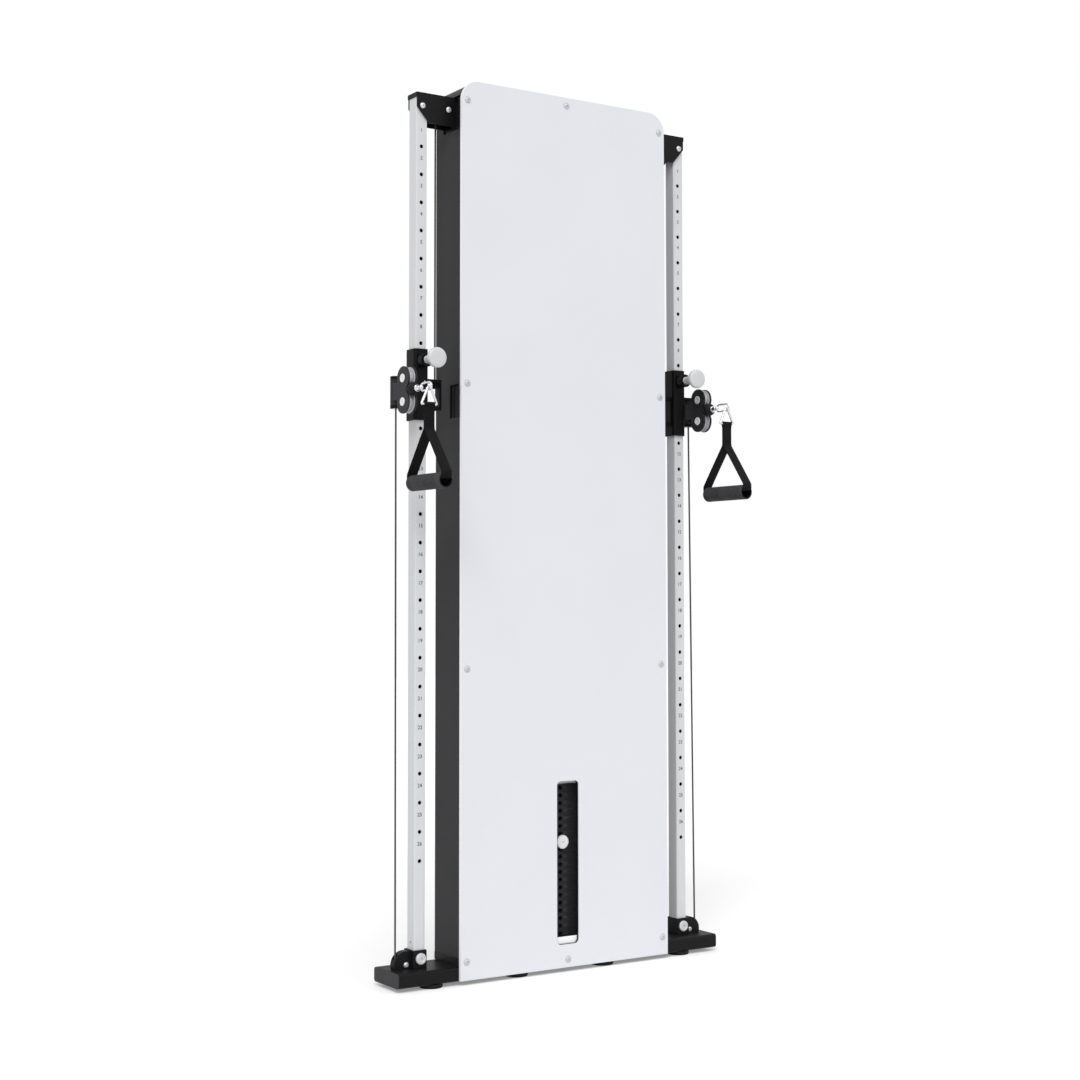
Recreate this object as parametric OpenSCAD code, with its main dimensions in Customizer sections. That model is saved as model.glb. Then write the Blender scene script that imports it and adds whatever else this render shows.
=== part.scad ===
// Wall pulley weight stack.
// A slim weight tower stands on a low base beam, with a numbered column on each side of it.
// A carriage slides on each column and carries a swivelling pulley block and a handle.
// Millimetres, +Z up. X = 0 is the middle of the tower, Y = 0 is the columns' front face with
// +Y towards the wall, and Z = 0 is the floor.

/* [Tower] */
// Height of the front panel's top edge above the floor
tower_h = 2220; // [2100:10:2300]
// Half width of the tower's housing, over its side skins
tower_half_w = 310; // [306:1:316]
// Thickness of the sheet steel skins
skin = 2; // [1.5:0.5:3]
// How far the front panel stands out past the housing, at the sides and the top
panel_lip = 2; // [1:0.5:4]
// Depth of the folded front panel
panel_depth = 8; // [6:1:12]
// Radius of the front panel's top corners
panel_corner_r = 50; // [30:5:60]
// Height of the front panel's lower edge above the floor
panel_bottom_z = 12; // [11:1:20]
// Width of the fold inside the side skins and the top cover, which takes the panel's screws
fold_w = 27; // [22:1:32]
// Head diameter of the panel screws
screw_head_d = 18; // [14:1:20]
// Height of the panel screws' heads
screw_head_h = 3.5; // [2:0.5:5]
// Distance of the panel screws in from the sides of the housing
screw_in = 15; // [12:1:20]
// Height of the lowest side screws of the panel above the floor
screw_low_z = 57; // [50:1:70]
// Height of the second side screws of the panel above the floor
screw_mid_z = 762; // [700:1:800]
// Height of the third side screws of the panel above the floor
screw_high_z = 1463; // [1400:1:1500]

/* [Slot in the front panel] */
// Width of the slot
slot_w = 65; // [55:1:80]
// Height of the slot's lower end
slot_z = 69; // [60:1:75]
// Height of the slot's upper end
slot_top_z = 475; // [470:1:490]
// Corner radius of the slot
slot_r = 11; // [5:1:20]

/* [Base beam] */
// Length of the base beam past the middle of a column
base_past_col = 82; // [76:1:98]
// Height of the base beam's section
base_h = 35; // [34:1:36]
// Depth of the base beam from its front face to the wall
base_d = 122; // [120:1:124]
// Wall of the base beam
base_wall = 3; // [2:0.5:4]
// Corner radius of the base beam's section
base_r = 7; // [4:1:10]
// Thickness of the end caps' flanges
end_cap_t = 4; // [2:1:6]
// Height of the foot pads
foot_h = 10; // [9:0.5:11]
// Diameter of the foot pads
foot_d = 58; // [40:1:60]
// Distance of the outer foot pads in from the ends of the base beam
foot_outer_in = 106; // [80:1:140]
// Distance of the inner foot pads from the middle
foot_inner_x = 130; // [80:1:200]

/* [Columns] */
// Distance of the columns' middles from the sides of the housing
col_out = 87; // [85:1:90]
// Width of the columns
col_w = 30; // [28:1:32]
// Depth of the columns
col_d = 35; // [33:1:37]
// Wall of the columns
col_wall = 2.5; // [2:0.5:3.5]
// Number of locking holes in each column
hole_count = 26; // [20:1:26]
// Distance between the locking holes
hole_pitch = 70; // [60:1:72]
// Height of the lowest locking hole
first_hole_z = 300; // [200:10:310]
// Diameter of the locking holes
hole_d = 10; // [8:0.5:12]

/* [Cables and pulleys] */
// Diameter of the coated cable
cable_d = 4.5; // [3:0.5:5]
// Radius of the cable's centre line on the frame's pulleys
wrap_r = 25; // [24:0.5:26]
// Depth of the pulleys' rims past the cable's centre line
rim_past = 2.75; // [2:0.25:3.25]
// Thickness of the frame's pulleys
sheave_t = 12; // [9:1:13]
// Diameter of the pulleys' axles
axle_d = 10; // [8:0.5:11]
// Radial clearance of a pulley on its axle
axle_gap = 0.1; // [0.05:0.05:0.2]
// Distance from the tower's top edge down to the upper axles
top_axle_drop = 69; // [66:1:80]
// Distance of the bottom outer pulley's axle outboard of the column
foot_axle_out = 31.8; // [30:0.1:34]
// Height of the bottom axles above the base beam
foot_axle_up = 9.5; // [9:0.5:12]
// Distance of the top bracket pulley's axle inboard of the column
top_axle_in = 74; // [72:1:76]

/* [Weight stack] */
// Clearance between the weight plates' ends and the rising cables' centre lines
plate_side_gap = 13; // [10:1:28]
// Depth of the weight plates
plate_d = 69; // [60:1:74]
// Distance from one plate to the next
plate_pitch = 19.2; // [18:0.1:19.5]
// Gap between two plates
plate_gap = 0.4; // [0.3:0.1:1]
// Number of plates
plate_count = 20; // [16:1:20]
// Number of plates above and at the selector pin
lifted_count = 8; // [2:1:12]
// Height of the lowest plate's underside
stack_z = 80; // [78:1:90]
// Distance of the guide rods in from the ends of the weight plates
rod_in = 35; // [30:1:65]
// Diameter of the guide rods
rod_d = 20; // [16:1:22]
// Diameter of the selector stem
stem_d = 22; // [18:1:24]
// Diameter of the selector pin
select_d = 8; // [6:0.5:9]
// Diameter of the selector pin's knob
select_knob_d = 36; // [25:1:40]
// Height of the floating pulleys' axles above the stack's top
float_up = 96; // [90:1:120]

/* [Brackets] */
// Thickness of the bracket plates
bracket_t = 4; // [3:0.5:5]
// Space between a column and the bracket plates beside it
bracket_gap = 2; // [1:0.5:3]
// Height of the window in the tower's side for the middle cross-member
window_z = 1381; // [1300:1:1440]
// Height of the middle cross-member
window_h = 80; // [60:1:90]
// Diameter of the large bolt heads at the columns' feet
disc_d = 28; // [20:1:32]
// Height of the columns' foot shoes
shoe_h = 43; // [40:1:46]
// Diameter of the wall bolts' holes
wall_hole_d = 11; // [8:1:14]
// Distance between the wall bolts along the wall
wall_bolt_span = 400; // [300:10:440]

/* [Carriages] */
// Height of the carriages' lower ends at rest
sleeve_z = 1370; // [1300:1:1400]
// Length of the carriages' sleeves
sleeve_h = 176; // [170:1:182]
// Width of the carriages' sleeves
sleeve_w = 40; // [39:0.5:42]
// Depth of the carriages' sleeves
sleeve_d = 45; // [44:0.5:47]
// Clearance between a sleeve and its column
sleeve_gap = 0.6; // [0.4:0.1:0.8]
// Height of the plunger above the sleeve's lower end
plunger_up = 146; // [144:1:150]
// Diameter of the plunger's pin
plunger_d = 9.4; // [7:0.1:9.6]
// Diameter of the plunger's knob
knob_d = 50; // [40:1:54]
// Distance of the swivel axis outboard of the column
swivel_out = 54; // [53:0.5:56]
// Distance of the swivel axis behind the columns' front faces
swivel_y = 28.8; // [27:0.1:30]
// Height of the swivel's lower ear above the sleeve's lower end
ear_up = 28; // [24:1:32]
// Height over the two swivel ears
ear_span = 79; // [77:1:82]
// Thickness of a swivel ear
ear_t = 7.5; // [6:0.5:8]
// Radius of the swivel ears' round ends
ear_r = 14; // [13:0.5:15]

/* [Pulley blocks] */
// Distance between the two pulleys of a block
pair_pitch = 57.4; // [57:0.1:59]
// Diameter of a block pulley's rim
pair_rim_d = 55; // [50:0.5:56]
// Thickness of a block pulley
pair_t = 15; // [12:0.5:15.5]
// Distance of the block's axles in front of the columns' front faces
pair_front = 29; // [28:0.5:31]
// Thickness of the block's cheek plates
cheek_t = 4; // [3:0.5:5]
// Width over the block's cheek plates
cheek_span = 25; // [24.5:0.5:27]
// Radius of the cheek plates' round ends
cheek_r = 29; // [28:0.5:30]
// Diameter of the block's bolt heads
pair_bolt_d = 21; // [16:1:24]

/* [Handles] */
// Radius of the rubber ball stops
ball_r = 16.5; // [14:0.5:17]
// Distance of the handles in front of the columns' front faces
handle_front = 137; // [135:1:145]
// Height of the grips' centres
grip_z = 1210; // [1190:1:1220]
// Length of the grips
grip_len = 159; // [140:1:170]
// Diameter of the grips
grip_d = 39; // [36:1:42]
// Diameter of the bore in the grips' core
grip_bore_d = 31; // [30.5:0.5:32]
// Width of the webbing
strap_w = 28; // [24:1:28]
// Thickness of the webbing
strap_t = 3; // [2:0.5:4]
// Height of the ring's bar, which the webbing goes round
ring_bar_z = 1394; // [1390:1:1398]
// Height where the webbing parts into two legs
strap_fork_z = 1337; // [1320:1:1345]
// Diameter of the hook's and the ring's wire
wire_d = 5; // [4:0.5:6]

/* [Hidden] */
$fn = 48;

// a small running past a face, so that a cut goes right through
past = 1;
// a gap that keeps two pressed or seated pieces apart as solids
seat_gap = 0.05;
// a gap between pieces that only just touch
touch_gap = 0.3;

// levels and planes of the base
wall_y = 78;
beam_z = foot_h;
beam_top = foot_h + base_h;
beam_front = wall_y - base_d;
plane_y = col_d / 2;
panel_front = beam_front - panel_depth;
panel_half_w = tower_half_w + panel_lip;
screw_x = tower_half_w - screw_in;
col_x = tower_half_w + col_out;
base_len = 2 * (col_x + base_past_col);
foot_outer_x = base_len / 2 - foot_outer_in;
corner_z = tower_h - panel_corner_r;
corner_x = panel_half_w - panel_corner_r;

// upper bracket levels
top_axle_z = tower_h - top_axle_drop;
wrap_top_gap = 1.5;
bracket_h = 70;
frame_top_h = 80;
web_z = top_axle_z + wrap_r + rim_past + wrap_top_gap;
bracket_low_z = web_z - bracket_h;
bracket_front = -bracket_gap - bracket_t;
bracket_back = col_d + bracket_gap;
bracket_end = col_x + col_w / 2 + touch_gap;
bracket_joint_x = tower_half_w - 25;
frame_low_z = web_z - frame_top_h;

// pulleys and cable lines
cable_r = cable_d / 2;
axle_r = axle_d / 2;
rim_r = wrap_r + rim_past;
groove_r = wrap_r - cable_r - touch_gap;
foot_axle_z = beam_top + foot_axle_up;
foot_axle_x = col_x + foot_axle_out;
beam_run_z = foot_axle_z - wrap_r;
top_axle_x = col_x - top_axle_in;
float_axle_x = top_axle_x - 2 * wrap_r;
fall_x = float_axle_x - wrap_r;
inner_axle_x = fall_x - wrap_r;
rise_x = inner_axle_x - wrap_r;
cheek_gap = 1;
foot_cheek_t = 3;
foot_cheek_r = rim_r + cheek_gap + foot_cheek_t + 1;

// weight stack widths and levels
plate_w = 2 * (rise_x - plate_side_gap);
rod_x = plate_w / 2 - rod_in;
stack_top = stack_z + plate_count * plate_pitch;
plate_front = plane_y - plate_d / 2;
select_z = stack_top - (lifted_count - 0.5) * plate_pitch;
float_axle_z = stack_top + float_up;
floor_plate_t = 3;
floor_plate_top = beam_top + floor_plate_t;
rod_gap = 0.8;
stem_gap = 0.6;
pin_gap = 0.5;
yoke_z = stack_top + 16;
yoke_h = 25;
yoke_d = 36;
yoke_eye_r = 6;

// the tower's inner pieces stop this far inside the side skins
inner_x = tower_half_w - 10;
tab_x = tower_half_w + panel_lip + 2;
plate_y = beam_front + 2.5;
window_back_y = 8;
foot_block_h = 40;
foot_block_back_y = -8;
stop_screw_up = 60;
flange_h = 60;
wall_rows = 30;

// carriage levels
plunger_z = sleeve_z + plunger_up;
ear_z = sleeve_z + ear_up;
ear_top_z = ear_z + ear_span;
collar_r = 17;
collar_front = -31;
swivel_x = col_x + swivel_out;
swivel_bush_r = 8;
swivel_bush_bore_r = 4;
swivel_gap = 0.1;
barrel_z = ear_z + ear_t + touch_gap;
barrel_top_z = ear_top_z - ear_t - touch_gap;
barrel_r = ear_r - 0.2;
barrel_end_t = 10;
lug_x = top_axle_x + wrap_r - 13;
lug_z = sleeve_z + ear_up;
lug_h = 76;
lug_t = 8;
lug_half_d = 11;

// block levels
pair_up = 67.9;
pair_mid_z = sleeve_z + pair_up;
pair_upper_z = pair_mid_z + pair_pitch / 2;
pair_lower_z = pair_mid_z - pair_pitch / 2;
pair_y = -pair_front;
pair_rim_r = pair_rim_d / 2;
pair_groove_r = pair_rim_r - 4.5;
roller_wrap_r = 10.25;
roller_rim_r = 11;
roller_y = swivel_y - roller_wrap_r;
roller_z = pair_mid_z - roller_wrap_r;
roller_axle_r = 3;
roller_t = 13;

// handle places
ball_reach = ball_r + pair_rim_r + touch_gap;
ball_y = pair_y - sqrt(ball_reach * ball_reach - pair_pitch * pair_pitch / 4);
handle_y = -handle_front;
cone_front = ball_y - 31.5;
wire_r = wire_d / 2;
wire_bend_r = wire_r + 0.05;
loop_r = 9;
loop_back = cone_front - touch_gap - 3 - loop_r;
loop_low_z = pair_mid_z - loop_r;
ring_arc_r = 6;
ring_arc_z = loop_low_z + wire_r + touch_gap - (ring_arc_r - wire_r);
ring_half_w = strap_w / 2 + wire_r + 3.5;
neck_half = wire_r + touch_gap + strap_t - 0.5;
strap_seat = sqrt(grip_bore_d * grip_bore_d / 4 - strap_w * strap_w / 4);
strap_run_top = grip_z + strap_seat - touch_gap;

// Draws its children on the right side of the object, or mirrored on the left.
module on_side(side) {
    if (side < 0) {
        mirror([1, 0, 0]) children();
    } else {
        children();
    }
}

// A box from its lowest corner to its highest corner.
module block(low, high) {
    translate(low) cube(high - low);
}

// A round bar between two points.
module rod(from, to, r) {
    run = to - from;
    length = norm(run);
    translate(from)
        rotate([0, acos(run[2] / length), atan2(run[1], run[0])])
            cylinder(h = length, r = r);
}

// A round bar along Y.
module bar_y(x, z, from_y, to_y, r) {
    translate([x, from_y, z]) rotate([-90, 0, 0]) cylinder(h = to_y - from_y, r = r);
}

// A round bar along X.
module bar_x(y, z, from_x, to_x, r) {
    translate([from_x, y, z]) rotate([0, 90, 0]) cylinder(h = to_x - from_x, r = r);
}

// An outline in X and Z, from one Y to another.
module slab_xz(from_y, to_y) {
    translate([0, to_y, 0]) rotate([90, 0, 0]) linear_extrude(to_y - from_y) children();
}

// An outline in Y and Z, from one X to another.
module slab_yz(from_x, to_x) {
    translate([from_x, 0, 0]) rotate([90, 0, 90]) linear_extrude(to_x - from_x) children();
}

// A rectangle with round corners, from its lowest corner.
module round_rect(w, h, r) {
    translate([r, 0]) square([w - 2 * r, h]);
    translate([0, r]) square([w, h - 2 * r]);
    for (x = [r, w - r]) {
        for (y = [r, h - r]) {
            translate([x, y]) circle(r);
        }
    }
}

// The tower's outline in X and Z above a level, drawn in by a given amount.
module tower_outline(low_z, inset) {
    half = panel_half_w - inset;
    radius = panel_corner_r - inset;
    translate([-half, low_z]) square([2 * half, corner_z - low_z]);
    translate([-corner_x, low_z]) square([2 * corner_x, corner_z + radius - low_z]);
    for (side = [-1, 1]) {
        translate([side * corner_x, corner_z]) circle(radius);
    }
}

// A grooved pulley about the Z axis, centred on its own middle.
module sheave(rim, groove, thick, bore, groove_w = 8) {
    half = thick / 2;
    rotate_extrude()
        polygon([
            [bore, -half], [rim - 0.6, -half], [rim, -half + 0.6], [rim, -groove_w / 2],
            [groove, -groove_w / 4], [groove, groove_w / 4], [rim, groove_w / 2],
            [rim, half - 0.6], [rim - 0.6, half], [bore, half]
        ]);
}

// A frame pulley on an axle along Y.
module frame_sheave(x, z) {
    translate([x, plane_y, z])
        rotate([90, 0, 0])
            sheave(rim_r, groove_r, sheave_t, axle_r + axle_gap);
}

// Part of a cable's turn round a frame pulley, from one angle over a sweep, in X and Z.
module cable_turn(x, z, from_angle, sweep) {
    translate([x, plane_y, z])
        rotate([90, 0, 0])
            rotate([0, 0, from_angle])
                rotate_extrude(angle = sweep)
                    translate([wrap_r, 0]) circle(cable_r);
}

// Screw places on the front panel.
function panel_screw_places() = [
    for (side = [-1, 1]) for (z = [screw_low_z, screw_mid_z, screw_high_z, corner_z]) [side * screw_x, z],
    [0, beam_z + 22],
    [0, tower_h - 21]
];

// A shoulder bolt along Y, with a head at the front, a nut at the back and two spacer collars.
module shoulder_bolt(x, z, plates, head_r = 7.5, shank_r = axle_r, collar = true) {
    collar_r = shank_r + 3;
    thick_half = sheave_t / 2 + cheek_gap / 2;
    bar_y(x, z, plates[0] - 4, plates[3] + 4, shank_r);
    bar_y(x, z, plates[0] - 4, plates[0] - seat_gap, head_r);
    bar_y(x, z, plates[3] + seat_gap, plates[3] + 5, head_r);
    if (collar) {
        bar_y(x, z, plates[1] + seat_gap, plane_y - thick_half, collar_r);
        bar_y(x, z, plane_y + thick_half, plates[2] - seat_gap, collar_r);
    }
}

// front and back faces of the two plates that carry a pulley, at the top and at the foot
top_plates = [bracket_front, -bracket_gap, bracket_back, bracket_back + bracket_t];
foot_plates = [
    plane_y - sheave_t / 2 - cheek_gap - foot_cheek_t, plane_y - sheave_t / 2 - cheek_gap,
    plane_y + sheave_t / 2 + cheek_gap, plane_y + sheave_t / 2 + cheek_gap + foot_cheek_t
];

module base_beam() {
    half = base_len / 2 - end_cap_t;
    color([0.14, 0.14, 0.15])
    difference() {
        slab_yz(-half, half)
            translate([beam_front, beam_z])
                difference() {
                    round_rect(base_d, base_h, base_r);
                    translate([base_wall, base_wall])
                        round_rect(base_d - 2 * base_wall, base_h - 2 * base_wall, base_r - base_wall);
                }
        for (side = [-1, 1]) {
            // slots for the bottom pulleys
            for (x = [inner_axle_x, foot_axle_x]) {
                block(
                    [side * x - rim_r - 2, foot_plates[1] - past / 2, beam_top - base_wall - past],
                    [side * x + rim_r + 2, foot_plates[2] + past / 2, beam_top + past]
                );
            }
        }
        bar_y(0, beam_z + 22, beam_front - past, beam_front + base_wall + past, 3.3);
    }
}

module beam_end_caps() {
    half = base_len / 2;
    plug_gap = 0.3;
    inset = base_wall + plug_gap;
    color([0.10, 0.10, 0.11])
    for (side = [-1, 1]) {
        on_side(side) {
            slab_yz(half - end_cap_t, half)
                translate([beam_front, beam_z]) round_rect(base_d, base_h, base_r);
            slab_yz(half - end_cap_t - 18, half - end_cap_t + past)
                translate([beam_front + inset, beam_z + inset])
                    round_rect(base_d - 2 * inset, base_h - 2 * inset, base_r - base_wall);
        }
    }
}

module foot_pads() {
    edge = 1.5;
    row_inset = foot_d / 2 + 1;
    color([0.12, 0.12, 0.12])
    for (x = [-foot_outer_x, -foot_inner_x, foot_inner_x, foot_outer_x]) {
        for (y = [beam_front + row_inset, wall_y - row_inset]) {
            translate([x, y, 0]) cylinder(h = edge, r1 = foot_d / 2 - edge, r2 = foot_d / 2);
            translate([x, y, edge]) cylinder(h = foot_h - edge, r = foot_d / 2);
        }
    }
}

module front_panel() {
    sheet_back = panel_front + skin;
    slot_h = slot_top_z - slot_z;
    color([0.88, 0.88, 0.90])
    difference() {
        union() {
            slab_xz(panel_front, sheet_back) tower_outline(panel_bottom_z, 0);
            slab_xz(panel_front, beam_front)
                difference() {
                    tower_outline(panel_bottom_z, 0);
                    tower_outline(panel_bottom_z + skin, skin);
                }
            slab_xz(panel_front, beam_front)
                translate([-slot_w / 2 - skin, slot_z - skin])
                    round_rect(slot_w + 2 * skin, slot_h + 2 * skin, slot_r + skin);
        }
        slab_xz(panel_front - past, beam_front + past)
            translate([-slot_w / 2, slot_z]) round_rect(slot_w, slot_h, slot_r);
        for (place = panel_screw_places()) {
            bar_y(place[0], place[1], panel_front - past, sheet_back + past, 3.3);
        }
    }
}

module panel_screws() {
    color([0.80, 0.80, 0.82])
    for (place = panel_screw_places()) {
        translate([place[0], panel_front - seat_gap, place[1]])
            rotate([90, 0, 0]) {
                cylinder(h = screw_head_h * 0.4, r = screw_head_d / 2);
                translate([0, 0, screw_head_h * 0.4])
                    cylinder(h = screw_head_h * 0.6, r1 = screw_head_d / 2, r2 = screw_head_d / 2 - 3);
            }
        bar_y(place[0], place[1], panel_front - seat_gap - 0.5, beam_front + skin, 3);
    }
}

// The cut in a side skin for a cross-member's end, from one level to another.
module side_window(low_z, high_z, back_y) {
    block([inner_x - 1, beam_front - past, low_z - 1], [tower_half_w + past, back_y, high_z + 1]);
}

module side_skin() {
    color([0.22, 0.22, 0.24])
    difference() {
        union() {
            block([tower_half_w - skin, beam_front, beam_top], [tower_half_w, wall_y, corner_z]);
            block(
                [panel_half_w - panel_lip - fold_w, beam_front, beam_top],
                [tower_half_w, beam_front + skin, corner_z]
            );
        }
        side_window(beam_top - 2, beam_top + foot_block_h, foot_block_back_y + 1);
        side_window(window_z, window_z + window_h, window_back_y + 1);
        side_window(frame_low_z, corner_z + 2, bracket_back + bracket_t + 2);
        for (place = panel_screw_places()) {
            if (place[0] > 0) {
                bar_y(place[0], place[1], beam_front - past, beam_front + skin + past, 3.3);
            }
        }
    }
}

module side_skin_left() {
    on_side(-1) side_skin();
}

module side_skin_right() {
    on_side(1) side_skin();
}

module top_cover() {
    notch_top = web_z + bracket_t + 1;
    color([0.30, 0.30, 0.32])
    difference() {
        intersection() {
            union() {
                slab_xz(beam_front, wall_y)
                    difference() {
                        tower_outline(corner_z - 5, panel_lip);
                        tower_outline(corner_z - 10, panel_lip + skin);
                    }
                slab_xz(beam_front, beam_front + skin)
                    difference() {
                        tower_outline(corner_z - 5, panel_lip);
                        tower_outline(corner_z - 10, panel_lip + fold_w);
                    }
            }
            block([-tower_half_w, beam_front - past, corner_z], [tower_half_w, wall_y + past, tower_h]);
        }
        for (side = [-1, 1]) {
            on_side(side)
                block(
                    [inner_x - 1, beam_front - past, corner_z - past],
                    [tower_half_w + past, bracket_back + bracket_t + 2, notch_top]
                );
        }
        bar_y(0, tower_h - 21, beam_front - past, beam_front + skin + past, 3.3);
        for (side = [-1, 1]) {
            bar_y(side * screw_x, corner_z, beam_front - past, beam_front + skin + past, 3.3);
        }
    }
}

// The end of a cross-member: a recessed plate behind the side's window and a tab past the panel's edge.
module frame_end(low_z, high_z, back_y) {
    plate_t = 4.5;
    tab_d = 4;
    block([inner_x - touch_gap, beam_front, low_z], [inner_x + plate_t, back_y, high_z]);
    block([inner_x, beam_front, low_z], [tab_x, beam_front + tab_d, high_z]);
}

// Two rows of wall bolt holes through a flange.
module wall_holes(low_z) {
    for (x = [-wall_bolt_span / 2, wall_bolt_span / 2]) {
        for (z = [low_z, low_z + wall_rows]) {
            bar_y(x, z, wall_y - bracket_t - past, wall_y + past, wall_hole_d / 2);
        }
    }
}

module frame_top() {
    rear_low = web_z - flange_h;
    half = bracket_joint_x - seat_gap;
    color([0.12, 0.12, 0.13])
    difference() {
        union() {
            block([-half, plate_y, web_z], [half, wall_y, web_z + bracket_t]);
            block([-half, bracket_front, bracket_low_z], [half, -bracket_gap, web_z + past]);
            block([-half, bracket_back, bracket_low_z], [half, bracket_back + bracket_t, web_z + past]);
            block([-half, wall_y - bracket_t, rear_low], [half, wall_y, web_z + past]);
            block([-half, plate_y, frame_low_z], [half, plate_y + bracket_t, web_z + past]);
            for (side = [-1, 1]) {
                on_side(side) {
                    block([half - past, plate_y, frame_low_z], [inner_x, plate_y + bracket_t, corner_z]);
                    frame_end(frame_low_z, corner_z, bracket_front - 1);
                }
            }
        }
        for (side = [-1, 1]) {
            bar_y(side * inner_axle_x, top_axle_z, bracket_front - past,
                bracket_back + bracket_t + past, axle_r + seat_gap);
            bar_y(side * screw_x, corner_z, beam_front - past, plate_y + bracket_t + past, 3.3);
        }
        wall_holes(rear_low + 15);
    }
}

module frame_middle() {
    color([0.12, 0.12, 0.13])
    union() {
        block([-inner_x, plate_y, window_z], [inner_x, plate_y + bracket_t, window_z + window_h]);
        for (side = [-1, 1]) {
            on_side(side) frame_end(window_z, window_z + window_h, window_back_y);
        }
    }
}

module frame_bottom() {
    ear_w = 30;
    color([0.12, 0.12, 0.13])
    difference() {
        union() {
            block([-inner_x, plate_y, beam_top], [inner_x, wall_y, floor_plate_top]);
            block(
                [-bracket_joint_x, wall_y - bracket_t, beam_top],
                [bracket_joint_x, wall_y, beam_top + flange_h]
            );
            for (side = [-1, 1]) {
                on_side(side) {
                    for (y = [foot_plates[0], foot_plates[2]]) {
                        block(
                            [inner_axle_x - ear_w / 2, y, beam_top],
                            [inner_axle_x + ear_w / 2, y + foot_cheek_t, foot_axle_z + 12]
                        );
                    }
                    slab_yz(inner_x - touch_gap, tab_x)
                        polygon([
                            [beam_front, beam_top], [foot_block_back_y - 12, beam_top],
                            [foot_block_back_y, beam_top + 12],
                            [foot_block_back_y, beam_top + foot_block_h],
                            [beam_front, beam_top + foot_block_h]
                        ]);
                }
            }
        }
        for (side = [-1, 1]) {
            block(
                [side * inner_axle_x - rim_r - 2, foot_plates[1], beam_top - past],
                [side * inner_axle_x + rim_r + 2, foot_plates[2], floor_plate_top + past]
            );
            bar_y(side * inner_axle_x, foot_axle_z, foot_plates[0] - past, foot_plates[3] + past,
                axle_r + seat_gap);
        }
        wall_holes(beam_top + 15);
    }
}

module column() {
    color([0.85, 0.85, 0.86])
    difference() {
        block([col_x - col_w / 2, 0, beam_top], [col_x + col_w / 2, col_d, web_z]);
        block(
            [col_x - col_w / 2 + col_wall, col_wall, beam_top - past],
            [col_x + col_w / 2 - col_wall, col_d - col_wall, web_z + past]
        );
        for (index = [0 : hole_count - 1]) {
            bar_y(col_x, first_hole_z + index * hole_pitch, -past, col_wall + past, hole_d / 2);
        }
        // slot for the bottom pulley in the outboard wall
        block(
            [col_x, foot_plates[1], beam_top - past],
            [col_x + col_w / 2 + past, foot_plates[2], foot_axle_z + rim_r + 1]
        );
        // holes for the foot bolt, the top bolt and the stop screw
        bar_y(col_x, beam_top + 23, -past, col_wall + past, axle_r + 0.2);
        bar_y(col_x, top_axle_z, -past, col_d + past, axle_r + 0.2);
        bar_x(plane_y, beam_top + stop_screw_up, col_x, col_x + col_w / 2 + past, 3);
    }
}

module column_left() {
    on_side(-1) column();
}

module column_right() {
    on_side(1) column();
}

module top_bracket() {
    corner_drop = 35;
    color([0.13, 0.13, 0.14])
    difference() {
        union() {
            for (y = [bracket_front, bracket_back]) {
                slab_xz(y, y + bracket_t)
                    polygon([
                        [bracket_end, web_z + bracket_t], [bracket_end, web_z + bracket_t - corner_drop],
                        [bracket_end - 34, bracket_low_z], [bracket_joint_x, bracket_low_z],
                        [bracket_joint_x, web_z + bracket_t]
                    ]);
            }
            block(
                [bracket_joint_x, bracket_front, web_z],
                [bracket_end, bracket_back + bracket_t, web_z + bracket_t]
            );
        }
        for (x = [top_axle_x, col_x]) {
            bar_y(x, top_axle_z, bracket_front - past, bracket_back + bracket_t + past, axle_r + seat_gap);
        }
    }
}

module top_bracket_left() {
    on_side(-1) top_bracket();
}

module top_bracket_right() {
    on_side(1) top_bracket();
}

module bottom_bracket() {
    shoe_gap = 0.3;
    shoe_in = 17;
    shoe_out = 20;
    shoe_top = beam_top + shoe_h;
    shoe_front = -6;
    cable_slot_w = 10;
    color([0.12, 0.12, 0.13])
    difference() {
        union() {
            block([col_x - shoe_in, shoe_front, beam_top], [col_x + shoe_out, col_d + 5, shoe_top]);
            // round housing of the bottom pulley
            intersection() {
                bar_y(foot_axle_x, foot_axle_z, foot_plates[0], foot_plates[3], foot_cheek_r);
                block([col_x, shoe_front, beam_top], [foot_axle_x + 60, wall_y, shoe_top + 20]);
            }
        }
        block(
            [col_x - col_w / 2 - shoe_gap, -shoe_gap, beam_top - past],
            [col_x + col_w / 2 + shoe_gap, col_d + shoe_gap, shoe_top + past]
        );
        bar_y(foot_axle_x, foot_axle_z, foot_plates[1], foot_plates[2], rim_r + cheek_gap);
        bar_y(foot_axle_x, foot_axle_z, foot_plates[0] - past, foot_plates[3] + past, axle_r + seat_gap);
        bar_y(col_x, beam_top + 23, shoe_front - past, 0, axle_r + seat_gap);
        // the way in for the cable
        block(
            [foot_axle_x + wrap_r - cable_slot_w / 2, foot_plates[1], foot_axle_z + 4],
            [foot_axle_x + wrap_r + cable_slot_w / 2, foot_plates[2], shoe_top + 20]
        );
    }
}

module bottom_bracket_left() {
    on_side(-1) bottom_bracket();
}

module bottom_bracket_right() {
    on_side(1) bottom_bracket();
}

module bracket_bolts() {
    disc_t = 5;
    color([0.78, 0.78, 0.80])
    for (side = [-1, 1]) {
        on_side(side) {
            shoulder_bolt(top_axle_x, top_axle_z, top_plates);
            shoulder_bolt(col_x, top_axle_z, top_plates, collar = false);
            shoulder_bolt(inner_axle_x, top_axle_z, top_plates);
            shoulder_bolt(inner_axle_x, foot_axle_z, foot_plates, head_r = 6, collar = false);
            shoulder_bolt(foot_axle_x, foot_axle_z, foot_plates, collar = false);
            bar_y(col_x, beam_top + 23, -6 - disc_t, -6 - seat_gap, disc_d / 2);
            bar_y(col_x, beam_top + 23, -6 - past, col_wall + 3, axle_r);
        }
    }
}

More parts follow.
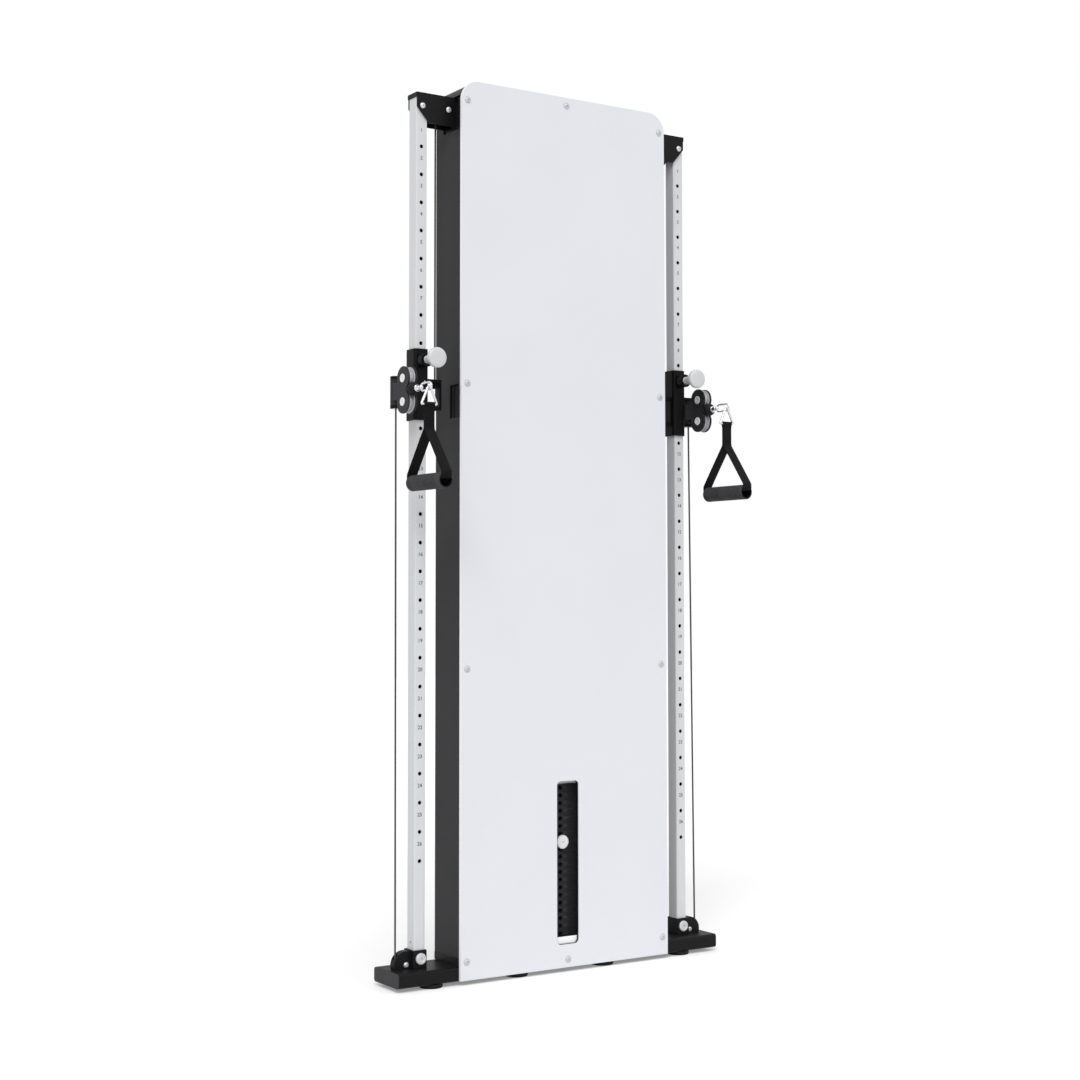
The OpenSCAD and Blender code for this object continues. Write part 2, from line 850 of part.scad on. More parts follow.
module guide_rods() {
    color([0.70, 0.70, 0.72])
    for (side = [-1, 1]) {
        translate([side * rod_x, plane_y, floor_plate_top])
            cylinder(h = web_z - floor_plate_top, r = rod_d / 2);
    }
}

// One weight plate, numbered from the top of the stack.
module weight_plate(number) {
    top_z = stack_top - (number - 1) * plate_pitch - plate_gap / 2;
    low_z = stack_top - number * plate_pitch + plate_gap / 2;
    middle_z = (top_z + low_z) / 2;
    difference() {
        block([-plate_w / 2, plate_front, low_z], [plate_w / 2, plate_front + plate_d, top_z]);
        for (side = [-1, 1]) {
            translate([side * rod_x, plane_y, low_z - past])
                cylinder(h = plate_pitch + 2 * past, r = rod_d / 2 + rod_gap);
        }
        translate([0, plane_y, low_z - past])
            cylinder(h = plate_pitch + 2 * past, r = stem_d / 2 + stem_gap);
        bar_y(0, middle_z, plate_front - past, plane_y, select_d / 2 + pin_gap);
    }
}

module resting_plates() {
    color([0.16, 0.16, 0.17])
    for (number = [lifted_count + 1 : plate_count]) {
        weight_plate(number);
    }
}

module lifted_plates() {
    color([0.16, 0.16, 0.17])
    for (number = [1 : lifted_count]) {
        weight_plate(number);
    }
}

module stack_bumpers() {
    color([0.10, 0.10, 0.10])
    for (side = [-1, 1]) {
        translate([side * rod_x, plane_y, floor_plate_top])
            difference() {
                cylinder(h = stack_z - floor_plate_top, r = rod_d / 2 + 12);
                translate([0, 0, -past]) cylinder(h = stack_z, r = rod_d / 2 + touch_gap);
            }
    }
}

module lift_yoke() {
    clevis_t = 3;
    clevis_half_w = 15;
    clevis_in = sheave_t / 2 + cheek_gap;
    bar_half = float_axle_x + clevis_half_w;
    color([0.20, 0.20, 0.22])
    difference() {
        union() {
            block(
                [-bar_half, plane_y - yoke_d / 2, yoke_z],
                [bar_half, plane_y + yoke_d / 2, yoke_z + yoke_h]
            );
            translate([0, plane_y, stack_z + 1]) cylinder(h = yoke_z - stack_z, r = stem_d / 2);
            for (side = [-1, 1]) {
                for (y = [plane_y - clevis_in - clevis_t, plane_y + clevis_in]) {
                    slab_xz(y, y + clevis_t) {
                        translate([side * float_axle_x - clevis_half_w, yoke_z + 1])
                            square([2 * clevis_half_w, float_axle_z - yoke_z - 1]);
                        translate([side * float_axle_x, float_axle_z]) circle(clevis_half_w);
                    }
                }
                bar_y(
                    side * float_axle_x, float_axle_z,
                    plane_y - clevis_in - 1, plane_y + clevis_in + 1, axle_r
                );
            }
        }
        for (side = [-1, 1]) {
            translate([side * rod_x, plane_y, yoke_z - past])
                cylinder(h = yoke_h + 2 * past, r = rod_d / 2 + touch_gap);
            translate([side * rise_x, plane_y, yoke_z - past])
                cylinder(h = yoke_h + 2 * past, r = yoke_eye_r);
        }
        for (number = [1 : plate_count]) {
            bar_y(0, stack_top - (number - 0.5) * plate_pitch, plane_y - stem_d, plane_y + stem_d,
                select_d / 2 + pin_gap);
        }
    }
}

module selector_pin() {
    knob_back = plate_front - 3;
    knob_front = knob_back - 17;
    color([0.90, 0.90, 0.92])
    union() {
        bar_y(0, select_z, knob_front + 3, plane_y + stem_d / 2 - 2, select_d / 2);
        translate([0, knob_back, select_z])
            rotate([90, 0, 0])
                rotate_extrude()
                    polygon([
                        [0, 0], [select_knob_d / 2 - 5, 0], [select_knob_d / 2 - 5, 5],
                        [select_knob_d / 2, 7], [select_knob_d / 2, 13], [select_knob_d / 2 - 3, 17],
                        [0, knob_back - knob_front]
                    ]);
    }
}

module top_sheave_left() {
    color([0.16, 0.16, 0.17]) on_side(-1) frame_sheave(top_axle_x, top_axle_z);
}

module top_sheave_right() {
    color([0.16, 0.16, 0.17]) on_side(1) frame_sheave(top_axle_x, top_axle_z);
}

module foot_sheave_left() {
    color([0.16, 0.16, 0.17]) on_side(-1) frame_sheave(foot_axle_x, foot_axle_z);
}

module foot_sheave_right() {
    color([0.16, 0.16, 0.17]) on_side(1) frame_sheave(foot_axle_x, foot_axle_z);
}

module inner_sheave_left() {
    color([0.16, 0.16, 0.17]) on_side(-1) frame_sheave(inner_axle_x, foot_axle_z);
}

module inner_sheave_right() {
    color([0.16, 0.16, 0.17]) on_side(1) frame_sheave(inner_axle_x, foot_axle_z);
}

module crown_sheave_left() {
    color([0.16, 0.16, 0.17]) on_side(-1) frame_sheave(inner_axle_x, top_axle_z);
}

module crown_sheave_right() {
    color([0.16, 0.16, 0.17]) on_side(1) frame_sheave(inner_axle_x, top_axle_z);
}

module float_sheave_left() {
    color([0.16, 0.16, 0.17]) on_side(-1) frame_sheave(float_axle_x, float_axle_z);
}

module float_sheave_right() {
    color([0.16, 0.16, 0.17]) on_side(1) frame_sheave(float_axle_x, float_axle_z);
}

// The cable's stretch that runs down outside the tower to the carriage's lug.
module upper_cable() {
    color([0.10, 0.10, 0.10])
    rod(
        [top_axle_x + wrap_r, plane_y, lug_z + lug_h + seat_gap],
        [top_axle_x + wrap_r, plane_y, top_axle_z],
        cable_r
    );
}

module upper_cable_left() {
    on_side(-1) upper_cable();
}

module upper_cable_right() {
    on_side(1) upper_cable();
}

// The cable's stretch from the bottom pulley up into the carriage's hollow swivel.
module outer_cable() {
    color([0.10, 0.10, 0.10])
    rod([foot_axle_x + wrap_r, plane_y, foot_axle_z], [swivel_x, swivel_y, roller_z], cable_r);
}

module outer_cable_left() {
    on_side(-1) outer_cable();
}

module outer_cable_right() {
    on_side(1) outer_cable();
}

module routed_cables() {
    color([0.10, 0.10, 0.10])
    for (side = [-1, 1]) {
        on_side(side) {
            cable_turn(foot_axle_x, foot_axle_z, -90, 90);
            bar_x(plane_y, beam_run_z, inner_axle_x, foot_axle_x, cable_r);
            cable_turn(inner_axle_x, foot_axle_z, 180, 90);
            rod([rise_x, plane_y, foot_axle_z], [rise_x, plane_y, top_axle_z], cable_r);
            cable_turn(inner_axle_x, top_axle_z, 0, 180);
            cable_turn(top_axle_x, top_axle_z, 0, 180);
        }
    }
}

module lift_cables() {
    color([0.10, 0.10, 0.10])
    for (side = [-1, 1]) {
        on_side(side) {
            rod([fall_x, plane_y, float_axle_z], [fall_x, plane_y, top_axle_z], cable_r);
            cable_turn(float_axle_x, float_axle_z, 180, 180);
            rod(
                [float_axle_x + wrap_r, plane_y, float_axle_z],
                [float_axle_x + wrap_r, plane_y, top_axle_z],
                cable_r
            );
        }
    }
}

module carriage() {
    sleeve_front = plane_y - sleeve_d / 2;
    lug_back = col_x - sleeve_w / 2;
    color([0.11, 0.11, 0.12]) {
        difference() {
            union() {
                translate([col_x - sleeve_w / 2, sleeve_front, sleeve_z])
                    linear_extrude(sleeve_h) round_rect(sleeve_w, sleeve_d, 4);
                // collar of the locking plunger
                bar_y(col_x, plunger_z, collar_front, sleeve_front + 1, collar_r);
                // swivel ears
                for (z = [ear_z, ear_top_z - ear_t]) {
                    block(
                        [col_x + col_w / 2 + 2, swivel_y - ear_r, z],
                        [swivel_x, swivel_y + ear_r - 4, z + ear_t]
                    );
                    translate([swivel_x, swivel_y, z]) cylinder(h = ear_t, r = ear_r);
                }
                // lug that anchors the upper cable
                difference() {
                    block(
                        [lug_x, plane_y - lug_half_d, lug_z],
                        [lug_back + 1, plane_y + lug_half_d, lug_z + lug_h]
                    );
                    block(
                        [lug_x + lug_t - 2, plane_y - lug_half_d - past, lug_z + lug_t],
                        [lug_back - 3, plane_y + lug_half_d + past, lug_z + lug_h - lug_t]
                    );
                }
                // the cable's end fitting under the lug's upper arm
                translate([top_axle_x + wrap_r, plane_y, lug_z + lug_h - lug_t - 14])
                    cylinder(h = 15, r = 6);
            }
            block(
                [col_x - col_w / 2 - sleeve_gap, -sleeve_gap, sleeve_z - past],
                [col_x + col_w / 2 + sleeve_gap, col_d + sleeve_gap, sleeve_z + sleeve_h + past]
            );
            bar_y(col_x, plunger_z, collar_front - past, past, plunger_d / 2 + axle_gap);
            for (z = [ear_z, ear_top_z - ear_t]) {
                translate([swivel_x, swivel_y, z - past])
                    cylinder(h = ear_t + 2 * past, r = swivel_bush_r + seat_gap);
            }
        }
        // hollow pivot bushes, pressed into the ears
        for (z = [ear_z, barrel_top_z - barrel_end_t + 2]) {
            translate([swivel_x, swivel_y, z])
                difference() {
                    cylinder(h = ear_t + barrel_end_t - 2, r = swivel_bush_r);
                    translate([0, 0, -past])
                        cylinder(h = ear_t + barrel_end_t + past, r = swivel_bush_bore_r);
                }
        }
    }
}

module carriage_left() {
    on_side(-1) carriage();
}

module carriage_right() {
    on_side(1) carriage();
}

module plunger() {
    neck_r = 10;
    knob_r = knob_d / 2;
    color([0.72, 0.72, 0.74])
    translate([col_x, collar_front - touch_gap, plunger_z])
        rotate([90, 0, 0]) {
            rotate_extrude()
                polygon([
                    [0, 0], [neck_r, 0], [neck_r, 10], [neck_r + 3, 18], [knob_r - 5, 28],
                    [knob_r, 34], [knob_r, 44], [knob_r - 2, 49], [knob_r - 7, 53], [0, 56]
                ]);
            translate([0, 0, collar_front + touch_gap * 2 + 0.1])
                cylinder(h = -collar_front + 5, r = plunger_d / 2);
        }
}

module plunger_left() {
    on_side(-1) plunger();
}

module plunger_right() {
    on_side(1) plunger();
}

module pulley_block() {
    inner_half = cheek_span / 2 - cheek_t;
    head_t = 2.5;
    waist = 18;
    arm_half = 21.5;
    color([0.24, 0.24, 0.26]) {
        difference() {
            union() {
                slab_yz(swivel_x - cheek_span / 2, swivel_x + cheek_span / 2) {
                    for (z = [pair_upper_z, pair_lower_z]) {
                        translate([pair_y, z]) circle(cheek_r);
                    }
                    translate([pair_y - waist, pair_lower_z]) square([2 * waist, pair_pitch]);
                    translate([pair_y, pair_mid_z - arm_half]) square([swivel_y - pair_y, 2 * arm_half]);
                }
                translate([swivel_x, swivel_y, barrel_z])
                    cylinder(h = barrel_top_z - barrel_z, r = barrel_r);
            }
            // the space between the cheeks
            block(
                [swivel_x - inner_half, pair_y - 2 * cheek_r, pair_lower_z - 2 * cheek_r],
                [swivel_x + inner_half, swivel_y - barrel_r, pair_upper_z + 2 * cheek_r]
            );
            block(
                [swivel_x - inner_half, swivel_y - barrel_r - past, barrel_z + barrel_end_t],
                [swivel_x + inner_half, swivel_y + barrel_r - 4, barrel_top_z - barrel_end_t]
            );
            translate([swivel_x, swivel_y, barrel_z - past])
                cylinder(h = barrel_top_z - barrel_z + 2 * past, r = swivel_bush_r + swivel_gap);
            for (z = [pair_upper_z, pair_lower_z]) {
                bar_x(pair_y, z, swivel_x - cheek_span, swivel_x + cheek_span, axle_r + seat_gap);
            }
        }
        // axle bolts with wide flat heads
        for (z = [pair_upper_z, pair_lower_z]) {
            bar_x(pair_y, z, swivel_x - cheek_span / 2 - 1, swivel_x + cheek_span / 2 + 1, axle_r);
            for (side = [-1, 1]) {
                translate([swivel_x + side * (cheek_span / 2 + seat_gap + head_t / 2), pair_y, z])
                    rotate([0, 90, 0]) cylinder(h = head_t, r = pair_bolt_d / 2, center = true);
            }
        }
        // axle of the guide roller
        bar_x(roller_y, roller_z, swivel_x - inner_half - 1, swivel_x + inner_half + 1, roller_axle_r);
    }
}

module pulley_block_left() {
    on_side(-1) pulley_block();
}

module pulley_block_right() {
    on_side(1) pulley_block();
}

// One of a block's two pulleys, at a level.
module block_sheave(z) {
    color([0.80, 0.80, 0.82])
    translate([swivel_x, pair_y, z])
        rotate([0, 90, 0])
            sheave(pair_rim_r, pair_groove_r, pair_t, axle_r + axle_gap, 9);
}

module block_sheave_upper_left() {
    on_side(-1) block_sheave(pair_upper_z);
}

module block_sheave_lower_left() {
    on_side(-1) block_sheave(pair_lower_z);
}

module block_sheave_upper_right() {
    on_side(1) block_sheave(pair_upper_z);
}

module block_sheave_lower_right() {
    on_side(1) block_sheave(pair_lower_z);
}

// The small roller that turns the cable from the swivel's axis towards the block's pulleys.
module guide_roller() {
    color([0.75, 0.75, 0.77])
    translate([swivel_x, roller_y, roller_z])
        rotate([0, 90, 0])
            sheave(
                roller_rim_r, roller_wrap_r - cable_r - touch_gap, roller_t,
                roller_axle_r + axle_gap, 7
            );
}

module guide_roller_left() {
    on_side(-1) guide_roller();
}

module guide_roller_right() {
    on_side(1) guide_roller();
}

module ball_stop() {
    color([0.12, 0.12, 0.13])
    union() {
        translate([swivel_x, ball_y, pair_mid_z]) sphere(ball_r);
        translate([swivel_x, ball_y - ball_r + 5, pair_mid_z])
            rotate([90, 0, 0]) cylinder(h = ball_y - ball_r + 5 - cone_front, r1 = 11, r2 = 5);
        bar_y(swivel_x, pair_mid_z, ball_y, roller_y, cable_r);
    }
}

module ball_stop_left() {
    on_side(-1) ball_stop();
}

module ball_stop_right() {
    on_side(1) ball_stop();
}

// The hook: a long closed loop of wire in the Y and Z plane, on a short barrel.
module snap_hook() {
    color([0.82, 0.82, 0.84])
    union() {
        bar_y(swivel_x, pair_mid_z, loop_back + loop_r - 4, cone_front - touch_gap, 4);
        for (z = [pair_mid_z - loop_r, pair_mid_z + loop_r]) {
            bar_y(swivel_x, z, handle_y, loop_back, wire_r);
            for (y = [handle_y, loop_back]) {
                translate([swivel_x, y, z]) sphere(wire_bend_r);
            }
        }
        for (end = [[loop_back, 0], [handle_y, 180]]) {
            translate([swivel_x, end[0], pair_mid_z])
                rotate([end[1], 0, 0])
                    rotate([0, 90, 0])
                        rotate_extrude(angle = 180)
                            translate([loop_r, 0]) circle(wire_r);
        }
    }
}

module snap_hook_left() {
    on_side(-1) snap_hook();
}

module snap_hook_right() {
    on_side(1) snap_hook();
}

// The webbing, closed through the grip, with the ring that it is sewn round.
module strap() {
    leg_w = strap_t / cos(atan2(grip_len / 2, strap_fork_z - grip_z));
    end_in = grip_len / 2 + 3;
    end_out = end_in + strap_t;
    turn_z = grip_z + grip_d / 2 + touch_gap;
    color([0.13, 0.13, 0.14]) {
        translate([0, handle_y, 0])
            slab_yz(swivel_x - strap_w / 2, swivel_x + strap_w / 2)
                difference() {
                    union() {
                        polygon([
                            [neck_half, ring_bar_z], [neck_half, strap_fork_z - 2], [end_out, turn_z],
                            [end_out, strap_run_top - strap_t], [-end_out, strap_run_top - strap_t],
                            [-end_out, turn_z], [-neck_half, strap_fork_z - 2], [-neck_half, ring_bar_z]
                        ]);
                        translate([0, ring_bar_z]) circle(neck_half);
                    }
                    polygon([
                        [0, strap_fork_z], [end_out - leg_w, turn_z], [end_in, strap_run_top],
                        [-end_in, strap_run_top], [-end_out + leg_w, turn_z]
                    ]);
                    translate([0, ring_bar_z]) circle(wire_r + touch_gap);
                }
        ring();
    }
}

// The triangular ring between the hook and the webbing, in the X and Z plane.
module ring() {
    translate([swivel_x, handle_y, 0]) {
        translate([0, 0, ring_arc_z])
            rotate([90, 0, 0])
                rotate_extrude(angle = 180)
                    translate([ring_arc_r, 0]) circle(wire_r);
        for (side = [-1, 1]) {
            rod([side * ring_arc_r, 0, ring_arc_z], [side * ring_half_w, 0, ring_bar_z], wire_r);
            translate([side * ring_arc_r, 0, ring_arc_z]) sphere(wire_bend_r);
            translate([side * ring_half_w, 0, ring_bar_z]) sphere(wire_bend_r);
        }
        rod([-ring_half_w, 0, ring_bar_z], [ring_half_w, 0, ring_bar_z], wire_r);
    }
}

module strap_left() {
    on_side(-1) strap();
}

module strap_right() {
    on_side(1) strap();
}

module grip() {
    core_r = grip_d / 2 - 3;
    end_y = grip_len / 2;
    color([0.20, 0.20, 0.21])
    translate([swivel_x, handle_y, grip_z])
        rotate([90, 0, 0]) {
            rotate_extrude()
                polygon([
                    [core_r + seat_gap, -end_y], [grip_d / 2 - 1.5, -end_y], [grip_d / 2, -end_y + 1.5],
                    [grip_d / 2, end_y - 1.5], [grip_d / 2 - 1.5, end_y], [core_r + seat_gap, end_y]
                ]);
            rotate_extrude()
                polygon([
                    [grip_bore_d / 2, -end_y - 1.5], [core_r, -end_y - 1.5],
                    [core_r, end_y + 1.5], [grip_bore_d / 2, end_y + 1.5]
                ]);
        }
}

module grip_left() {
    on_side(-1) grip();
}

module grip_right() {
    on_side(1) grip();
}

base_beam();
beam_end_caps();
foot_pads();
front_panel();
panel_screws();
side_skin_left();
side_skin_right();
top_cover();
frame_top();
frame_middle();
frame_bottom();
column_left();
column_right();
top_bracket_left();
top_bracket_right();
bottom_bracket_left();
bottom_bracket_right();
bracket_bolts();
guide_rods();
resting_plates();
stack_bumpers();
top_sheave_left();
top_sheave_right();
foot_sheave_left();
foot_sheave_right();
inner_sheave_left();
inner_sheave_right();
crown_sheave_left();
crown_sheave_right();
lift_yoke();
lifted_plates();
selector_pin();
float_sheave_left();
float_sheave_right();
upper_cable_left();
upper_cable_right();
outer_cable_left();
outer_cable_right();
routed_cables();
lift_cables();
carriage_left();
carriage_right();
plunger_left();
plunger_right();
pulley_block_left();
pulley_block_right();
block_sheave_upper_left();
block_sheave_lower_left();
block_sheave_upper_right();
block_sheave_lower_right();
guide_roller_left();
guide_roller_right();
ball_stop_left();
ball_stop_right();
snap_hook_left();
snap_hook_right();
strap_left();
strap_right();
grip_left();
grip_right();
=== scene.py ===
"""The looks of a wall pulley weight stack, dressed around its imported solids.

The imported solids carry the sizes. Each class below holds one sub-assembly: it reads its places from
the solids' boxes, models the pieces that a bench would show, and gives each piece its finish.
All lengths are metres, except in the profiles that Bench.lathe turns and the sizes that only they use,
which are millimetres. +X points to the right as a user faces the tower, +Y towards the wall, +Z up.
"""

import logging
import math
from collections.abc import Callable, Iterator, Sequence
from contextlib import contextmanager
from dataclasses import dataclass
from enum import Enum
from typing import ClassVar

import bpy
from mathutils import Matrix, Vector


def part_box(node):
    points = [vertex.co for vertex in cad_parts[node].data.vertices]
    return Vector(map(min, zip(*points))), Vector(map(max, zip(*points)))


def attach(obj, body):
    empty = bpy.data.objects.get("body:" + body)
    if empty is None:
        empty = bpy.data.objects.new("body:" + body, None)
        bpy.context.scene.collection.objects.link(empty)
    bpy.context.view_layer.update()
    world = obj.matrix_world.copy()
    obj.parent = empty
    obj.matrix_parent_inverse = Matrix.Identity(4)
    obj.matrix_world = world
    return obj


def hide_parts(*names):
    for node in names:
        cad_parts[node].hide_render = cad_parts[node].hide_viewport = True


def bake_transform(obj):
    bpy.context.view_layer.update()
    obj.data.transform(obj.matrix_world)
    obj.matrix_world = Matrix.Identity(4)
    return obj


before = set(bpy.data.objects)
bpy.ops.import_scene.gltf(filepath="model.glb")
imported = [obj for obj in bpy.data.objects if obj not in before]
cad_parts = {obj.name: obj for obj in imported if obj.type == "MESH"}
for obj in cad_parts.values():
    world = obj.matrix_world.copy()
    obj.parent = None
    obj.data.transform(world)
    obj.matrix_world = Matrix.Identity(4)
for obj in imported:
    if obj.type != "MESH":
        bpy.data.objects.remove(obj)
LOG = logging.getLogger("weight_stack")
MM = 0.001
Piece = bpy.types.Object
Material = bpy.types.Material
Socket = bpy.types.NodeSocket
Point = tuple[float, float, float]
Color = tuple[float, float, float, float]
Profile = list[tuple[float, float]]
Spans = tuple[tuple[float, float], tuple[float, float], tuple[float, float]]


class Side(Enum):
    """The two mirrored halves of the machine."""

    LEFT = -1
    RIGHT = 1

    def node(self, stem: str) -> str:
        """Returns a node's or body's name on this side."""
        return f"{stem}_{self.name.lower()}"


class Along(Enum):
    """The way that a turned piece points."""

    FRONT = (0.0, -1.0, 0.0)
    UP = (0.0, 0.0, 1.0)
    RIGHT = (1.0, 0.0, 0.0)
    LEFT = (-1.0, 0.0, 0.0)

    def turn(self) -> Matrix:
        """Returns the rotation that takes +Z to this direction."""
        return Vector((0, 0, 1)).rotation_difference(Vector(self.value)).to_matrix().to_4x4()


def shade(red: int, green: int, blue: int) -> Color:
    """Turns a colour as seen on screen into the linear colour that shaders take.

    Args:
        red: red from 0 to 255.
        green: green from 0 to 255.
        blue: blue from 0 to 255.

    Returns:
        The linear colour with full alpha.
    """
    def linear(level: int) -> float:
        """Returns one channel's linear value."""
        part = level / 255
        return part / 12.92 if part <= 0.04045 else ((part + 0.055) / 1.055) ** 2.4

    return (linear(red), linear(green), linear(blue), 1.0)


class Value:
    """A shader socket that takes part in plain sums."""

    def __init__(self, graph: "Graph", socket: Socket) -> None:
        """Keeps where the value comes from.

        Args:
            graph: the graph.
            socket: the socket in it.
        """
        self.graph = graph
        self.socket = socket

    def sum(self, operation: str, *values: "Value | float") -> "Value":
        """Adds one Math node.

        Args:
            operation: the Math node's operation.
            values: what goes into the node, in order.

        Returns:
            The node's result.
        """
        return self.graph.node("ShaderNodeMath", {"operation": operation}, dict(enumerate(values)))

    def __add__(self, other: "Value | float") -> "Value":
        """Returns the sum."""
        return self.sum("ADD", self, other)

    def __radd__(self, other: float) -> "Value":
        """Returns the sum, written the other way round."""
        return self.sum("ADD", other, self)

    def __sub__(self, other: "Value | float") -> "Value":
        """Returns the difference."""
        return self.sum("SUBTRACT", self, other)

    def __rsub__(self, other: float) -> "Value":
        """Returns the difference, written the other way round."""
        return self.sum("SUBTRACT", other, self)

    def __mul__(self, other: "Value | float") -> "Value":
        """Returns the product."""
        return self.sum("MULTIPLY", self, other)

    def __rmul__(self, other: float) -> "Value":
        """Returns the product, written the other way round."""
        return self.sum("MULTIPLY", other, self)

    def sine(self) -> "Value":
        """Returns the sine."""
        return self.sum("SINE", self)

    def size(self) -> "Value":
        """Returns the value without its sign."""
        return self.sum("ABSOLUTE", self)

    def between(self, low: float, high: float) -> "Value":
        """Returns a smooth rise from 0 at one level to 1 at the other."""
        return self.graph.node(
            "ShaderNodeMapRange", {"interpolation_type": "SMOOTHSTEP"}, {0: self, 1: low, 2: high}
        )


class Graph:
    """The node graph of one finish, ending in its Principled shader."""

    def __init__(self, name: str, **constants: float | Color) -> None:
        """Starts the graph.

        Args:
            name: the material's name.
            constants: values set on the shader's own sockets, with spaces in their names as _.
        """
        self.material = bpy.data.materials.new(name)
        self.material.use_nodes = True
        self.tree = self.material.node_tree
        self.shader = self.tree.nodes["Principled BSDF"]
        for socket, value in constants.items():
            self.shader.inputs[socket.replace("_", " ")].default_value = value
        source = self.tree.nodes.new("ShaderNodeTexCoord")
        self.place = Value(self, source.outputs["Object"])
        self.uv = Value(self, source.outputs["UV"])

    def node(self, kind: str, settings: dict, inputs: dict, output: int = 0) -> Value:
        """Adds any node.

        Args:
            kind: the node's type.
            settings: the node's own settings.
            inputs: numbers, colours or values for its sockets, by name or number.
            output: the number of the socket that is returned.

        Returns:
            The node's result.
        """
        made = self.tree.nodes.new(kind)
        for name, value in settings.items():
            setattr(made, name, value)
        for key, value in inputs.items():
            self.feed(made.inputs[key], value)
        return Value(self, made.outputs[output])

    def feed(self, socket: Socket, value: Value | float | Color | Point) -> None:
        """Links a value to a socket, or sets a plain number or colour on it.

        Args:
            socket: the socket.
            value: what goes into it.
        """
        if isinstance(value, Value):
            self.tree.links.new(value.socket, socket)
        else:
            socket.default_value = value

    def axis(self, number: int, source: Value | None = None) -> Value:
        """Returns one coordinate, 0 to 2, of the object's or another coordinates."""
        return self.node("ShaderNodeSeparateXYZ", {}, {0: source or self.place}, number)

    def noise(self, grain: float, detail: float = 2.0, stretch: Point = (1.0, 1.0, 1.0)) -> Value:
        """Adds a noise in the object's space.

        Args:
            grain: the size of its spots in metres.
            detail: how many finer layers it has.
            stretch: how much longer the spots are along each axis.

        Returns:
            The noise, from 0 to 1.
        """
        packed = tuple(1 / (grain * part) for part in stretch)
        spread = self.node("ShaderNodeMapping", {}, {"Vector": self.place, "Scale": packed})
        return self.node("ShaderNodeTexNoise", {}, {"Vector": spread, "Scale": 1.0, "Detail": detail})

    def cells(self, grain: float) -> Value:
        """Returns the distance to the nearest of many points, a given distance apart."""
        return self.node("ShaderNodeTexVoronoi", {}, {"Vector": self.place, "Scale": 1 / grain})

    def mix(self, mask: Value, first: Value | Color, second: Value | Color) -> Value:
        """Returns one colour where a mask is 0 and another where it is 1."""
        settings = {"data_type": "RGBA"}
        return self.node("ShaderNodeMix", settings, {0: mask, 6: first, 7: second}, 2)

    def relief(self, height: Value, depth: float) -> Value:
        """Returns the normal of a surface raised by a height from 0 to 1 times a depth."""
        return self.node("ShaderNodeBump", {}, {"Height": height, "Distance": depth})

    def finish(self, color: Value | Color, roughness: Value | float, normal: Value) -> Material:
        """Feeds the shader.

        Args:
            color: its base colour.
            roughness: its roughness.
            normal: its normal.

        Returns:
            The material.
        """
        self.feed(self.shader.inputs["Base Color"], color)
        self.feed(self.shader.inputs["Roughness"], roughness)
        self.feed(self.shader.inputs["Normal"], normal)
        return self.material


def darker(color: Color, share: float) -> Color:
    """Returns a colour with a share of its brightness."""
    return (color[0] * share, color[1] * share, color[2] * share, 1.0)


@dataclass(frozen=True)
class Coat:
    """A material and the record's slot that it stands for."""

    material: Material
    slot: str


class Finish:
    """A finish, which makes its own material."""

    def make(self) -> Material:
        """Returns the material."""
        raise NotImplementedError

    def slotted(self, slot: str) -> Coat:
        """Returns the material with the record's slot that it stands for."""
        return Coat(self.make(), slot)


@dataclass(frozen=True)
class PowderCoat(Finish):
    """Baked powder paint: fine pebbled skin, slow clouds of tone and a satin sheen."""

    name: str
    color: Color
    roughness: float = 0.42
    specular: float = 0.3
    clouds: float = 0.94
    pebble: float = 0.7 * MM
    peel: float = 3.5 * MM
    depth: float = 0.035 * MM

    def make(self) -> Material:
        """Returns the material."""
        graph = Graph(self.name, Specular_IOR_Level=self.specular)
        pebbles = graph.noise(self.pebble, 2.0)
        peel = graph.noise(self.peel, 1.0)
        tone = graph.noise(0.22, 3.0).between(0.3, 0.7)
        color = graph.mix(tone, darker(self.color, self.clouds), self.color)
        speck = pebbles.between(0.66, 0.72)
        color = graph.mix(speck * 0.25, color, darker(self.color, 0.8))
        roughness = self.roughness + 0.10 * (pebbles - 0.5) + 0.08 * (tone - 0.5)
        return graph.finish(color, roughness, graph.relief(pebbles * 0.6 + peel * 0.4, self.depth))


@dataclass(frozen=True)
class BareMetal(Finish):
    """Machined metal with fine lines along one axis and faint stains."""

    name: str
    color: Color
    roughness: float = 0.25
    lines: Point = (1.0, 1.0, 30.0)
    depth: float = 0.01 * MM
    metal: float = 1.0

    def make(self) -> Material:
        """Returns the material."""
        graph = Graph(self.name, Metallic=self.metal)
        lines = graph.noise(0.35 * MM, 2.0, self.lines)
        stain = graph.noise(9 * MM, 3.0).between(0.35, 0.75)
        color = graph.mix(lines.between(0.3, 0.7), darker(self.color, 0.86), self.color)
        color = graph.mix(stain * 0.3, color, darker(self.color, 0.8))
        roughness = self.roughness + 0.14 * (lines - 0.5) + 0.10 * stain
        return graph.finish(color, roughness, graph.relief(lines, self.depth))


@dataclass(frozen=True)
class Casting(Finish):
    """Painted cast iron: pitted, uneven, with paint rubbed on its high spots."""

    name: str
    color: Color
    rubbed: Color
    roughness: float = 0.55

    def make(self) -> Material:
        """Returns the material."""
        graph = Graph(self.name, Specular_IOR_Level=0.3)
        swell = graph.noise(6 * MM, 3.0)
        pits = graph.cells(1.8 * MM).between(0.05, 0.35)
        rub = graph.noise(28 * MM, 5.0, (1.0, 1.0, 0.3)).between(0.62, 0.78)
        color = graph.mix(swell.between(0.3, 0.7), darker(self.color, 0.75), self.color)
        color = graph.mix(rub * 0.5, color, self.rubbed)
        roughness = self.roughness + 0.12 * (swell - 0.5) - 0.15 * rub
        return graph.finish(color, roughness, graph.relief(swell * 0.5 + pits * 0.5, 0.12 * MM))


